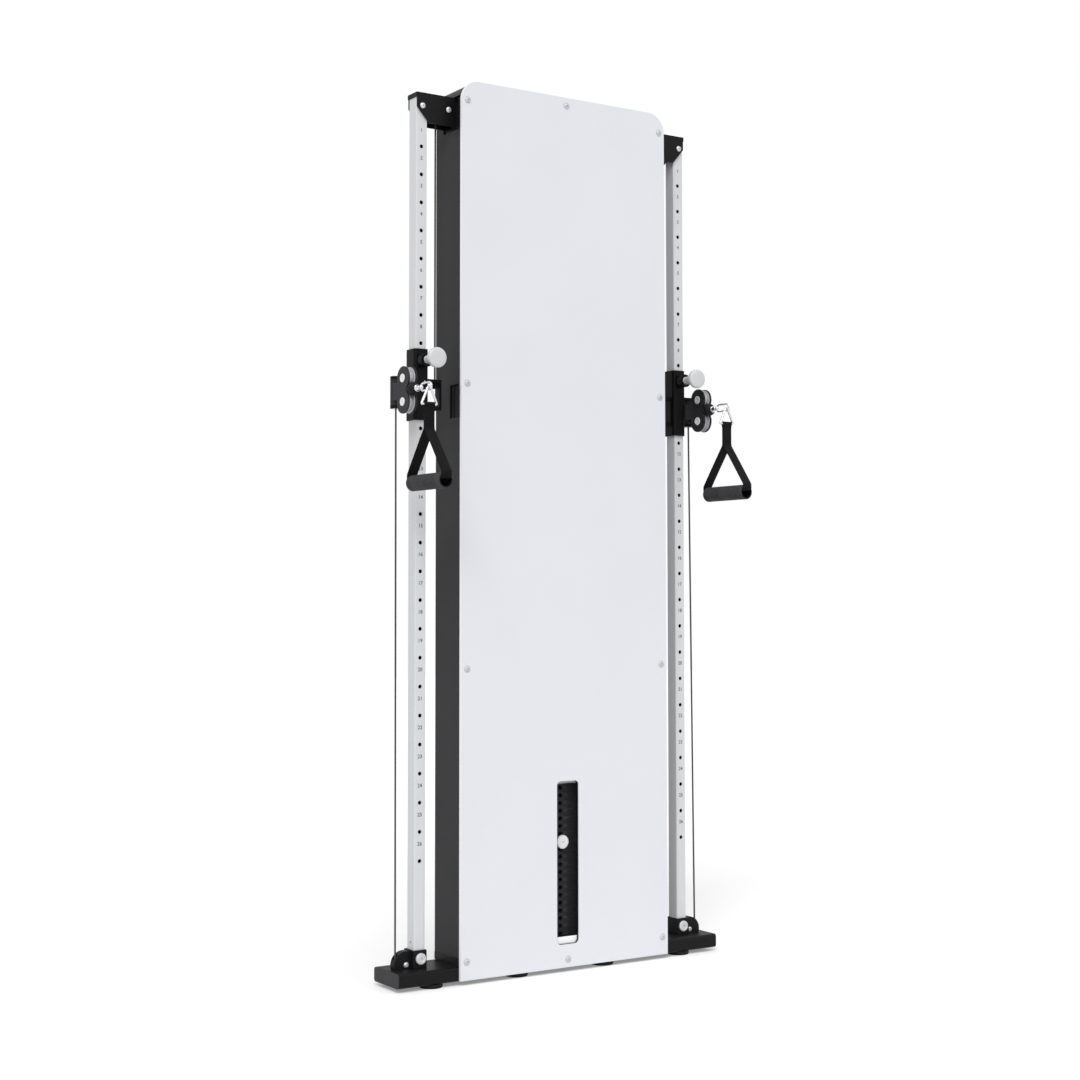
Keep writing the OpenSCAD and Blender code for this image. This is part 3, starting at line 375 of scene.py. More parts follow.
@dataclass(frozen=True)
class Moulded(Finish):
    """Moulded plastic or rubber with a sparked texture and flow marks."""

    name: str
    color: Color
    roughness: float = 0.5
    specular: float = 0.3
    grain: float = 0.5 * MM
    depth: float = 0.03 * MM
    coat: float = 0.0

    def make(self) -> Material:
        """Returns the material."""
        graph = Graph(self.name, Specular_IOR_Level=self.specular, Coat_Weight=self.coat)
        grain = graph.noise(self.grain, 3.0)
        flow = graph.noise(16 * MM, 3.0, (1.0, 1.0, 2.5)).between(0.3, 0.7)
        color = graph.mix(flow, darker(self.color, 0.85), self.color)
        dust = graph.noise(5 * MM, 4.0).between(0.6, 0.8)
        roughness = self.roughness + 0.12 * (grain - 0.5) + 0.08 * dust
        return graph.finish(color, roughness, graph.relief(grain, self.depth))


@dataclass(frozen=True)
class Foam(Finish):
    """Closed-cell grip foam: a skin of small round cells, worn smoother where a hand holds it."""

    name: str
    color: Color
    cell: float = 0.9 * MM

    def make(self) -> Material:
        """Returns the material."""
        graph = Graph(self.name, Specular_IOR_Level=0.15)
        cells = graph.cells(self.cell).between(0.1, 0.75)
        wear = graph.noise(32 * MM, 3.0).between(0.4, 0.7)
        color = graph.mix(cells, darker(self.color, 0.6), self.color)
        color = graph.mix(wear * 0.3, color, darker(self.color, 1.5))
        roughness = 0.78 - 0.14 * wear + 0.1 * (cells - 0.5)
        return graph.finish(color, roughness, graph.relief(cells, 0.16 * MM))


@dataclass(frozen=True)
class Weave(Finish):
    """Nylon webbing, woven in small ribs across its width, read from the piece's own map."""

    name: str
    color: Color
    ribs: float = 1.3 * MM
    rows: float = 1.7 * MM

    def make(self) -> Material:
        """Returns the material. The map holds real lengths in metres across and along."""
        graph = Graph(self.name, Specular_IOR_Level=0.12, Sheen_Weight=0.04)
        across = graph.axis(0, graph.uv) * (2 * math.pi / self.ribs)
        along = graph.axis(1, graph.uv) * (2 * math.pi / self.rows)
        warp = across.sine() * (along + across * 0.5).sine()
        weft = (along * 0.5).sine() * (across * 0.5).sine()
        thread = (warp.size() * 0.7 + weft.size() * 0.3).between(0.0, 0.8)
        fuzz = graph.noise(0.3 * MM, 3.0)
        color = graph.mix(thread, darker(self.color, 0.45), self.color)
        color = graph.mix(fuzz.between(0.62, 0.75) * 0.4, color, darker(self.color, 1.7))
        roughness = 0.82 + 0.12 * (fuzz - 0.5)
        return graph.finish(color, roughness, graph.relief(thread * 0.8 + fuzz * 0.2, 0.22 * MM))


@dataclass(frozen=True)
class CableJacket(Finish):
    """The smooth jacket of a steel cable, through which the strands just show."""

    name: str
    color: Color
    strand: float = 6 * MM
    diameter: float = 4.5 * MM

    def make(self) -> Material:
        """Returns the material."""
        graph = Graph(self.name, Specular_IOR_Level=0.15)
        turn = (graph.axis(0) + graph.axis(1)) * (2 * math.pi / self.diameter)
        lay = (graph.axis(2) * (2 * math.pi / self.strand) + turn).sine() * 0.5 + 0.5
        scuff = graph.noise(3 * MM, 4.0).between(0.55, 0.75)
        color = graph.mix(lay * 0.5, self.color, darker(self.color, 0.6))
        roughness = 0.52 + 0.2 * scuff
        return graph.finish(color, roughness, graph.relief(lay, 0.05 * MM))


class Finishes:
    """Every finish on the machine, each made once."""

    def __init__(self) -> None:
        """Makes the materials."""
        self.panel = PowderCoat("panel_grey", shade(226, 228, 233), 0.46, 0.3, 0.985).slotted("panel_grey")
        # Painted highlight: a near-white paint for the panel's rolled outer rim. The slot's sill takes it
        # too.
        self.rim = PowderCoat("panel_rim_painted_highlight_white", shade(252, 252, 253), 0.4, 0.35, 0.99).slotted("panel_grey")
        self.housing = PowderCoat("housing_grey", shade(54, 54, 56), 0.52, 0.1).slotted("housing_grey")
        self.black = PowderCoat("frame_black", shade(21, 21, 22), 0.46, 0.12).slotted("frame_black")
        self.column = PowderCoat("column_grey", shade(216, 217, 219), 0.4, 0.35, 0.97).slotted("column_grey")
        # Painted shade: a dark paint for the columns' inner walls, so that the holes read dark.
        self.shadow = PowderCoat("painted_shade_inside", shade(40, 40, 42), 0.7, 0.1).slotted("column_grey")
        self.sleeve = PowderCoat("carriage_black", shade(14, 14, 15), 0.44, 0.1).slotted("carriage_black")
        self.block = PowderCoat("block_grey", shade(47, 47, 50), 0.42, 0.12).slotted("block_grey")
        self.zinc = BareMetal("zinc_plate", shade(218, 218, 222), 0.38, metal=0.6).slotted("bright_steel")
        self.screw = BareMetal(
            "dull_screw_zinc", shade(206, 207, 210), 0.5, metal=0.25
        ).slotted("bright_steel")
        self.bolt_cover = BareMetal(
            "pale_bolt_head", shade(248, 248, 249), 0.42, metal=0.1
        ).slotted("bright_steel")
        self.chrome = BareMetal(
            "bright_chrome", shade(226, 226, 230), 0.13, depth=0.003 * MM
        ).slotted("hook_chrome")
        self.rod = BareMetal("ground_rod", shade(205, 205, 210), 0.2, (30.0, 30.0, 1.0)).slotted("rod_steel")
        self.alloy = BareMetal(
            "turned_alloy", shade(182, 182, 186), 0.45, (30.0, 1.0, 30.0), metal=0.5
        ).slotted("sheave_pale")
        self.knob = BareMetal(
            "anodised_knob", shade(214, 215, 217), 0.42, (1.0, 30.0, 1.0), metal=0.2
        ).slotted("knob_grey")
        self.iron = Casting("weight_iron", shade(40, 40, 43), shade(74, 74, 78)).slotted("weight_iron")
        self.nylon = Moulded("black_nylon", shade(34, 34, 36), 0.45, 0.2).slotted("sheave_nylon")
        self.white = Moulded(
            "white_knob", shade(240, 240, 241), 0.3, 0.5, 3 * MM, 0.01 * MM, 0.2
        ).slotted("pin_white")
        self.cap = Moulded("end_cap_black", shade(18, 18, 19), 0.55, 0.15).slotted("cap_black")
        self.bush = Coat(self.cap.material, "weight_iron")
        # Painted light: the end plugs' grey is lighter than the beam's black and stands for the light on the
        # beam's end faces.
        self.plug = Moulded("beam_plug_painted_light", shade(58, 58, 60), 0.55, 0.15).slotted("cap_black")
        self.rubber = Moulded("black_rubber", shade(24, 24, 25), 0.6, 0.15, 0.8 * MM).slotted("pad_rubber")
        self.ball = Coat(self.rubber.material, "ball_rubber")
        self.foam = Foam("grip_foam", shade(60, 60, 62)).slotted("grip_foam")
        self.webbing = Weave("webbing_black", shade(11, 11, 12)).slotted("webbing_black")
        self.thread = Moulded("seam_thread", shade(34, 34, 36), 0.7, 0.2, 0.2 * MM).slotted("webbing_black")
        self.jacket = CableJacket("cable_black", shade(70, 70, 72)).slotted("cable_black")
        self.ink = Moulded(
            "number_ink", shade(84, 84, 88), 0.6, 0.2, 0.4 * MM, 0.01 * MM
        ).slotted("column_grey")
        self.plate_ink = Moulded(
            "plate_number_ink", shade(70, 70, 74), 0.6, 0.2, 0.4 * MM, 0.01 * MM
        ).slotted("weight_iron")


class Bench:
    """The modelling moves that every sub-assembly shares."""

    print_spread: ClassVar[float] = 0.22 * MM
    print_proud: ClassVar[float] = 0.12 * MM
    digit_share: ClassVar[float] = 0.7
    fold_steps: ClassVar[int] = 5

    @staticmethod
    def only(piece: Piece) -> None:
        """Selects one piece and makes it active.

        Args:
            piece: the piece.
        """
        bpy.ops.object.select_all(action="DESELECT")
        piece.select_set(True)
        bpy.context.view_layer.objects.active = piece

    @classmethod
    @contextmanager
    def editing(cls, piece: Piece, every: bool = True) -> Iterator[None]:
        """Opens a piece in edit mode for the operators that follow, and closes it after them.

        Args:
            piece: the piece.
            every: whether all of it is selected, or only what was chosen before.
        """
        cls.only(piece)
        bpy.ops.object.mode_set(mode="EDIT")
        if every:
            bpy.ops.mesh.select_all(action="SELECT")
        yield
        bpy.ops.object.mode_set(mode="OBJECT")

    @staticmethod
    def hold(data: bpy.types.ID, name: str) -> Piece:
        """Puts a mesh, a curve, a lamp or a camera in the scene.

        Args:
            data: what is put there.
            name: the name that it gets.

        Returns:
            The object that holds it.
        """
        piece = bpy.data.objects.new(name, data)
        bpy.context.scene.collection.objects.link(piece)
        return piece

    @staticmethod
    def settle(piece: Piece, move: Matrix = Matrix.Identity(4)) -> Piece:
        """Moves a piece and puts its place into its mesh.

        Args:
            piece: the piece.
            move: where it goes from where it stands.

        Returns:
            The piece, at the origin, unturned and unscaled.
        """
        bpy.context.view_layer.update()
        piece.data.transform(move @ piece.matrix_world)
        piece.matrix_world = Matrix.Identity(4)
        return piece

    @classmethod
    def start(cls, kind: str, place: Matrix, **settings: object) -> Piece:
        """Adds a primitive at its place, to be shaped from there.

        Args:
            kind: plane, cube or cylinder.
            place: where it goes.
            settings: its own sizes.

        Returns:
            The settled primitive.
        """
        bpy.ops.object.select_all(action="DESELECT")
        getattr(bpy.ops.mesh, f"primitive_{kind}_add")(**settings)
        return cls.settle(bpy.context.object, place)

    @classmethod
    def modify(cls, piece: Piece, kind: str, **settings: object) -> None:
        """Adds a modifier and applies it.

        Args:
            piece: the piece.
            kind: the modifier's type.
            settings: the modifier's own settings.
        """
        cls.only(piece)
        modifier = piece.modifiers.new(kind.lower(), kind)
        for name, value in settings.items():
            setattr(modifier, name, value)
        bpy.ops.object.modifier_apply(modifier=modifier.name)

    @classmethod
    def cut(cls, piece: Piece, waste: Piece) -> None:
        """Takes one solid out of another, and clears it away.

        Args:
            piece: the solid that is cut.
            waste: the solid that is taken out of it.
        """
        cls.modify(piece, "BOOLEAN", operation="DIFFERENCE", object=waste, solver="EXACT")
        bpy.data.objects.remove(waste)

    @classmethod
    def tidy(cls, piece: Piece, merge: float = 0.004 * MM, flat: float = 0.0) -> None:
        """Merges doubles and turns all faces outwards.

        Args:
            piece: the piece.
            merge: how near to each other two corners are one.
            flat: the angle up to which faces are joined into one, or 0 to leave them.
        """
        with cls.editing(piece):
            bpy.ops.mesh.remove_doubles(threshold=merge)
            if flat:
                bpy.ops.mesh.dissolve_limited(angle_limit=flat)
            bpy.ops.mesh.normals_make_consistent(inside=False)

    @classmethod
    def smooth(cls, piece: Piece, angle: float = 38.0) -> None:
        """Shades a piece smooth, with its flat faces kept flat.

        Args:
            piece: the piece.
            angle: the angle in degrees past which an edge stays sharp.
        """
        cls.only(piece)
        bpy.ops.object.shade_smooth_by_angle(angle=math.radians(angle))
        cls.modify(piece, "WEIGHTED_NORMAL", keep_sharp=True)

    @classmethod
    def round_edges(
        cls, piece: Piece, width: float, steps: int = 2, angle: float = 40.0
    ) -> None:
        """Rounds every edge that is sharper than an angle in degrees."""
        cls.modify(
            piece, "BEVEL", width=width, segments=steps, limit_method="ANGLE",
            angle_limit=math.radians(angle), use_clamp_overlap=True,
        )

    @classmethod
    def fold(
        cls, piece: Piece, width: float, chosen: Callable[[bpy.types.MeshEdge], bool]
    ) -> None:
        """Rolls over the edges that a test chooses.

        Args:
            piece: the piece.
            width: how far the edges are rolled back.
            chosen: the test of one edge.
        """
        mesh = piece.data
        for item in (*mesh.polygons, *mesh.vertices):
            item.select = False
        for edge in mesh.edges:
            edge.select = chosen(edge)
        with cls.editing(piece, every=False):
            bpy.ops.mesh.select_mode(type="EDGE")
            bpy.ops.mesh.bevel(offset=width, segments=cls.fold_steps, affect="EDGES", clamp_overlap=True)

    @classmethod
    def sheet(cls, corner: Point, opposite: Point, edge: float) -> Piece:
        """Makes a flat plate with broken edges.

        Args:
            corner: one of its corners.
            opposite: the corner furthest from it.
            edge: how far its edges are broken.

        Returns:
            The plate.
        """
        middle = [(one + other) / 2 for one, other in zip(corner, opposite)]
        spans = [abs(one - other) for one, other in zip(corner, opposite)]
        plate = cls.start("cube", Matrix.Translation(middle) @ Matrix.Diagonal((*spans, 1.0)), size=1)
        cls.round_edges(plate, edge, 2, 50)
        return plate

    @classmethod
    def lathe(
        cls, name: str, profile: Profile, at: Point, along: Along, steps: int = 48
    ) -> Piece:
        """Turns a profile round an axis.

        Args:
            name: the piece's name.
            profile: radius and distance along the axis of each corner, in millimetres.
            at: the point on the axis where the distance is 0.
            along: the way that the axis points.
            steps: how many flats the turning has.

        Returns:
            The turned piece.
        """
        corners = [(radius * MM, 0.0, height * MM) for radius, height in profile]
        edges = [(index, index + 1) for index in range(len(corners) - 1)]
        if profile[0][0] > 0 and profile[-1][0] > 0:
            edges.append((len(corners) - 1, 0))
        mesh = bpy.data.meshes.new(name)
        mesh.from_pydata(corners, edges, [])
        piece = cls.hold(mesh, name)
        with cls.editing(piece):
            bpy.ops.mesh.spin(steps=steps, angle=2 * math.pi, center=(0, 0, 0), axis=(0, 0, 1))
        cls.tidy(piece)
        return cls.settle(piece, Matrix.Translation(at) @ along.turn())

    @classmethod
    def socket(cls, piece: Piece, at: Point, along: Along, across: float, depth: float) -> None:
        """Cuts a six-sided socket.

        Args:
            piece: the piece that is cut.
            at: the middle of the socket's mouth.
            along: the way that the socket faces.
            across: its width over two flats.
            depth: its depth.
        """
        place = Matrix.Translation(at) @ along.turn()
        radius = across / math.sqrt(3)
        cls.cut(piece, cls.start("cylinder", place, vertices=6, radius=radius, depth=2 * depth))

    @classmethod
    def join(cls, pieces: list[Piece], name: str) -> Piece:
        """Joins pieces into one.

        Args:
            pieces: the pieces.
            name: the name of what they make.

        Returns:
            The first piece, which has become all of them.
        """
        bpy.ops.object.select_all(action="DESELECT")
        for piece in pieces:
            piece.select_set(True)
        bpy.context.view_layer.objects.active = pieces[0]
        if len(pieces) > 1:
            bpy.ops.object.join()
        pieces[0].name = name
        pieces[0].data.name = name
        return pieces[0]

    @classmethod
    def copies(cls, pattern: Piece, moves: Sequence[Matrix], name: str) -> Piece:
        """Sets copies of a pattern side by side as one piece, and clears the pattern away.

        Args:
            pattern: what is copied.
            moves: where each copy goes from where the pattern stands.
            name: the name of what they make.

        Returns:
            The joined copies.
        """
        made = [cls.settle(cls.hold(pattern.data.copy(), pattern.name + "_copy"), move) for move in moves]
        bpy.data.objects.remove(pattern)
        return cls.join(made, name)

    @classmethod
    def worked(cls, node: str, name: str) -> Piece:
        """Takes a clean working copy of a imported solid, with its flat faces joined.

        Args:
            node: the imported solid.
            name: the copy's name.

        Returns:
            The copy.
        """
        piece = cls.hold(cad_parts[node].data.copy(), name)
        piece.data.materials.clear()
        cls.tidy(piece, 0.01 * MM, math.radians(0.6))
        return piece

    @classmethod
    def split(cls, piece: Piece) -> list[Piece]:
        """Parts a piece into its separate solids.

        Args:
            piece: the piece.

        Returns:
            The solids, largest first.
        """
        with cls.editing(piece):
            bpy.ops.mesh.separate(type="LOOSE")
        return sorted(bpy.context.selected_objects, key=lambda solid: -solid.dimensions.length)

    @classmethod
    def number(cls, text: str, height: float, at: Point) -> Piece:
        """Makes a printed number that faces the front.

        Args:
            text: the digits.
            height: the digits' height.
            at: the middle of the number, on the surface.

        Returns:
            The number as a mesh.
        """
        bpy.ops.object.select_all(action="DESELECT")
        bpy.ops.object.text_add()
        piece = bpy.context.object
        piece.data.body = text
        piece.data.size = height / cls.digit_share
        piece.data.align_x = "CENTER"
        piece.data.align_y = "CENTER"
        piece.data.extrude = cls.print_proud / 2
        piece.data.offset = cls.print_spread
        piece.data.resolution_u = 3
        bpy.ops.object.convert(target="MESH")
        turn = Matrix.Translation(at) @ Matrix.Rotation(math.pi / 2, 4, "X")
        return cls.settle(bpy.context.object, turn)

    @classmethod
    def wire(
        cls, name: str, points: list[Point], radius: float, sides: int = 14, closed: bool = False
    ) -> Piece:
        """Makes a round wire through points.

        Args:
            name: the piece's name.
            points: the wire's middle line.
            radius: the wire's radius.
            sides: how many flats the wire has.
            closed: whether the wire is a loop.

        Returns:
            The wire as a closed mesh.
        """
        curve = bpy.data.curves.new(name, "CURVE")
        curve.dimensions = "3D"
        line = curve.splines.new("POLY")
        line.points.add(len(points) - 1)
        for corner, point in zip(line.points, points):
            corner.co = (*point, 1.0)
        line.use_cyclic_u = closed
        curve.bevel_depth = radius
        curve.bevel_resolution = max(1, sides // 2 - 2)
        curve.use_fill_caps = True
        cls.only(cls.hold(curve, name))
        bpy.ops.object.convert(target="MESH")
        piece = bpy.context.object
        cls.tidy(piece)
        cls.smooth(piece, 50)
        return piece

    @staticmethod
    def dress(piece: Piece, coat: Coat, body: str, *nodes: str) -> Piece:
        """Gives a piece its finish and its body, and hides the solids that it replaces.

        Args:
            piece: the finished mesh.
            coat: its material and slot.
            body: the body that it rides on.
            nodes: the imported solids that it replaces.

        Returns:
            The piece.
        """
        if not piece.data.materials:
            piece.data.materials.append(coat.material)
        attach(piece, body)
        if nodes:
            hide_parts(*nodes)
        LOG.info("%s rides on %s: %d faces", piece.name, body, len(piece.data.polygons))
        return piece

    @classmethod
    def show(
        cls, piece: Piece, coat: Coat, body: str, *nodes: str, angle: float = 38.0
    ) -> Piece:
        """Shades a piece smooth and dresses it."""
        cls.smooth(piece, angle)
        return cls.dress(piece, coat, body, *nodes)

    @classmethod
    def eased(
        cls, node: str, name: str, width: float, coat: Coat, body: str, steps: int = 2
    ) -> Piece:
        """Makes a solid's showing piece with its edges broken, as paint and a file leave them.

        Args:
            node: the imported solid.
            name: the piece's name.
            width: how far each sharp edge is rounded back, or 0 to leave them.
            coat: its material and slot.
            body: the body that it rides on.
            steps: how many flats each rounded edge has.

        Returns:
            The piece, which replaces the solid.
        """
        piece = cls.worked(node, name)
        if width:
            cls.round_edges(piece, width, steps)
        return cls.show(piece, coat, body, node)

    @staticmethod
    def pay_out(
        cable: Piece, coat: Coat, bodies: tuple[str, str], start: Point, end: Point, *nodes: str
    ) -> None:
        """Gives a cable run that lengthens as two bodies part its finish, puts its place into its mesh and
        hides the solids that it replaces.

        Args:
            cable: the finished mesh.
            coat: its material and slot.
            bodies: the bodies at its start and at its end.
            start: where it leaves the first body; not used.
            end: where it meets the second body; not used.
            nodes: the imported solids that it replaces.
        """
        cable.data.materials.append(coat.material)
        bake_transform(cable)
        if nodes:
            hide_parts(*nodes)
        LOG.info("%s pays out between %s and %s", cable.name, *bodies)


@dataclass
class Tower:
    """The tower: front panel with its slot, side skins, top cover, cross-members and screws."""

    finishes: Finishes
    slot_w: float = 65 * MM
    slot_low: float = 69 * MM
    slot_high: float = 475 * MM
    slot_r: float = 11 * MM
    slot_margin: float = 5 * MM
    lining_t: float = 0.6 * MM
    lining_gap: float = 0.1 * MM
    lining_back: float = 2.2 * MM
    outer_edge: float = 5.6 * MM
    slot_edge: float = 1.8 * MM
    sill_t: float = 1.5 * MM
    sill_h: float = 24 * MM
    sill_low: float = 6 * MM
    sill_over: float = 4 * MM
    panel_back: float = -44 * MM
    half_w: float = 310 * MM
    skin_t: float = 2 * MM
    wall_y: float = 78 * MM
    fold_back: float = -6.5 * MM
    beam_top: float = 45 * MM
    kick_top: float = 64 * MM
    kick_proud: float = 0.8 * MM
    window_top: float = 86 * MM
    screw_x: float = 295 * MM
    side_screw_levels: tuple[float, ...] = (57 * MM, 762 * MM, 1463 * MM, 2170 * MM)
    low_screw_z: float = 32 * MM
    high_screw_z: float = 2199 * MM

    # Each backing reaches outwards, front to back and upwards, in millimetres.
    backings: ClassVar[dict[str, Spans]] = {
        "behind the middle window": ((303, 306), (-5, 26), (1372, 1470)),
        "over the middle window": ((298, 299.9), (-43, 28), (1452, 1474)),
        "under the middle window": ((298, 299.9), (-43, 28), (1366, 1390)),
        "under the top arm": ((303, 306), (-8, 62), (2092, 2109.5)),
        "behind the top arm": ((303, 306), (42.5, 62), (2105, 2124)),
        "before the top arm": ((299.5, 301.5), (-43, -7.5), (2150, 2191)),
        "over the top arm": ((299.5, 301.5), (-8, 46), (2184.8, 2191)),
    }
    # The lowest cross-member's ends are cut away within these reaches, above the kick strips.
    waste_out: ClassVar[tuple[float, float]] = (305 * MM, 320 * MM)
    waste_deep: ClassVar[tuple[float, float]] = (-50 * MM, 0.0)
    waste_top: ClassVar[float] = 100 * MM

    def build(self) -> None:
        """Builds the tower's pieces."""
        self.panel()
        self.lining()
        self.screws()
        self.side_plates()
        self.sill()
        housing = self.finishes.housing
        for side in Side:
            Bench.eased(side.node("side_skin"), side.node("side_sheet"), 0.6 * MM, housing, "stand")
        Bench.eased("top_cover", "top_sheet", 0.5 * MM, housing, "stand")
        self.cross_members()

    def panel(self) -> None:
        """Builds the front panel with its outer edges and its slot's edge rolled over, and its outer rim
        painted whiter as a highlight.
        """
        panel = Bench.worked("front_panel", "front_sheet")
        reach = (self.slot_w / 2 + self.slot_margin, self.slot_high + self.slot_margin)
        self.roll_rim(panel, self.outer_edge, reach, False)
        self.roll_rim(panel, self.slot_edge, reach, True)
        Bench.round_edges(panel, 0.3 * MM, 1, 60)
        Bench.smooth(panel)
        # Faces on the outer rim take the near-white paint, which is a painted highlight along the panel's
        # edges.
        for coat in (self.finishes.panel, self.finishes.rim):
            panel.data.materials.append(coat.material)
        for polygon in panel.data.polygons:
            in_slot = abs(polygon.center.x) < reach[0] and polygon.center.z < reach[1]
            if -0.995 < polygon.normal.y < 0.5 and not in_slot:
                polygon.material_index = 1
        Bench.dress(panel, self.finishes.panel, "stand", "front_panel")

    @staticmethod
    def roll_rim(panel: Piece, width: float, reach: tuple[float, float], slot: bool) -> None:
        """Rolls over the front face's rim, either round the slot or round the panel.

        Args:
            panel: the panel.
            width: how far the rim is rolled back.
            reach: the half width and the height that the slot's rim lies within.
            slot: whether the slot's rim is meant.
        """
        mesh = panel.data
        front = min(vertex.co.y for vertex in mesh.vertices)
        low = min(vertex.co.z for vertex in mesh.vertices) + 20 * MM
        normals: dict[tuple[int, int], list[float]] = {}
        for polygon in mesh.polygons:
            for key in polygon.edge_keys:
                normals.setdefault(key, []).append(polygon.normal.y)

        def on_rim(edge: bpy.types.MeshEdge) -> bool:
            """Returns whether an edge lies on the rim that is meant."""
            first, second = (mesh.vertices[index].co for index in edge.vertices)
            on_front = max(first.y, second.y) < front + 0.01 * MM
            facing = normals[edge.key]
            in_slot = abs(first.x) < reach[0] and low < first.z < reach[1]
            return on_front and min(facing) < -0.9 and max(facing) > -0.5 and in_slot == slot

        Bench.fold(panel, width, on_rim)

    def side_plates(self) -> None:
        """Builds the backings behind the side windows, the skin's low patches and the kick strips."""
        skin = (self.half_w - self.skin_t, self.half_w)
        low_patch = (skin, (self.panel_back, self.fold_back), (self.kick_top, self.window_top))
        kick_out = (skin[0], skin[1] + self.kick_proud)
        kick = (kick_out, (self.panel_back, self.wall_y), (self.beam_top, self.kick_top))
        for side in Side:
            made = [
                self.side_plate(side, [[value * MM for value in span] for span in spans], 0.4 * MM)
                for spans in self.backings.values()
            ]
            strip = Bench.join(made, side.node("window_backings"))
            Bench.show(strip, self.finishes.black, "stand")
            for name, spans, edge, coat in (
                ("low_patch", low_patch, 0.2 * MM, self.finishes.housing),
                ("kick_strip", kick, 0.3 * MM, self.finishes.black),
            ):
                plate = self.side_plate(side, spans, edge)
                plate.name = side.node(name)
                Bench.show(plate, coat, "stand")

    @staticmethod
    def side_plate(side: Side, spans: Sequence[Sequence[float]], edge: float) -> Piece:
        """Makes a plate on one side of the tower.

        Args:
            side: the tower's side.
            spans: its reach outwards, front to back and upwards.
            edge: how far its edges are broken.

        Returns:
            The plate.
        """
        (inner, outer), (front, back), (low, high) = spans
        return Bench.sheet((side.value * inner, front, low), (side.value * outer, back, high), edge)

    def sill(self) -> None:
        """Builds the white strip that closes the slot's lower end behind the panel."""
        half = self.slot_w / 2 + self.sill_over
        low = self.slot_low - self.sill_low
        front, back = self.panel_back - 0.05 * MM, self.panel_back + self.sill_t
        strip = Bench.sheet((-half, front, low), (half, back, low + self.sill_h), 0.4 * MM)
        strip.name = "slot_sill"
        # The sill takes the near-white paint that the panel's rim wears as a painted highlight.
        Bench.show(strip, self.finishes.rim, "stand")

    def cross_members(self) -> None:
        """Builds the three cross-members, the lowest with its ends cut down to the kick strips."""
        black = self.finishes.black
        for level in ("top", "middle"):
            Bench.eased(f"frame_{level}", f"{level}_cross_member", 0.8 * MM, black, "stand")
        low = Bench.worked("frame_bottom", "bottom_cross_member")
        for side in Side:
            spans = (self.waste_out, self.waste_deep, (self.kick_top, self.waste_top))
            Bench.cut(low, self.side_plate(side, spans, 0.1 * MM))
        Bench.round_edges(low, 0.8 * MM, 2)
        Bench.show(low, black, "stand", "frame_bottom")

    def lining(self) -> None:
        """Builds the black edging inside the panel's slot."""
        low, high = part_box("front_panel")
        front = low.y + self.lining_back
        width = self.slot_w - self.lining_gap
        height = self.slot_high - self.slot_low - self.lining_gap
        middle = (0.0, front, (self.slot_low + self.slot_high) / 2)
        place = Matrix.Translation(middle) @ Matrix.Rotation(math.pi / 2, 4, "X")
        lining = Bench.start("plane", place @ Matrix.Diagonal((width, height, 1.0, 1.0)), size=1)
        lining.name = "slot_lining"
        with Bench.editing(lining):
            bpy.ops.mesh.bevel(offset=self.slot_r, segments=8, affect="VERTICES")
            bpy.ops.mesh.delete(type="ONLY_FACE")
            bpy.ops.mesh.select_all(action="SELECT")
            bpy.ops.mesh.extrude_region_move(TRANSFORM_OT_translate={"value": (0, high.y - front, 0)})
        Bench.tidy(lining)
        Bench.modify(lining, "SOLIDIFY", thickness=self.lining_t, offset=-1.0)
        Bench.round_edges(lining, 0.2 * MM)
        Bench.show(lining, self.finishes.cap, "stand")

    def screws(self) -> None:
        """Builds the panel's washer-head screws."""
        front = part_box("front_panel")[0].y
        shank = (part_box("panel_screws")[1].y - front) / MM
        face = 3.3
        profile = [
            (0, face), (3.6, 3.1), (5.4, 2.4), (6.2, 1.5), (6.3, 1.1), (8.6, 1.0), (9.0, 0.6), (9.0, 0.05),
            (3.0, 0.05), (3.0, 1.0 - shank), (2.2, 0.2 - shank), (0, 0.2 - shank),
        ]
        pattern = Bench.lathe("panel_screw", profile, (0, 0, 0), Along.FRONT, 40)
        Bench.socket(pattern, (0, -face * MM, 0), Along.FRONT, 4 * MM, 2 * MM)
        places = [(side.value * self.screw_x, z) for side in Side for z in self.side_screw_levels]
        places += [(0.0, self.low_screw_z), (0.0, self.high_screw_z)]
        moves = [Matrix.Translation((x, front, z)) for x, z in places]
        screws = Bench.copies(pattern, moves, "washer_head_screws")
        Bench.show(screws, self.finishes.screw, "stand", "panel_screws")


@dataclass
class Base:
    """The base beam with its end caps and foot pads."""

    finishes: Finishes

    def build(self) -> None:
        """Builds the base's pieces."""
        Bench.eased("base_beam", "base_tube", 0.5 * MM, self.finishes.black, "stand")
        # The end plugs take the lighter grey, which is painted light on the beam's end faces.
        Bench.eased("beam_end_caps", "base_end_plugs", 1.5 * MM, self.finishes.plug, "stand", 3)
        Bench.eased("foot_pads", "foot_rubbers", 0.8 * MM, self.finishes.rubber, "stand")


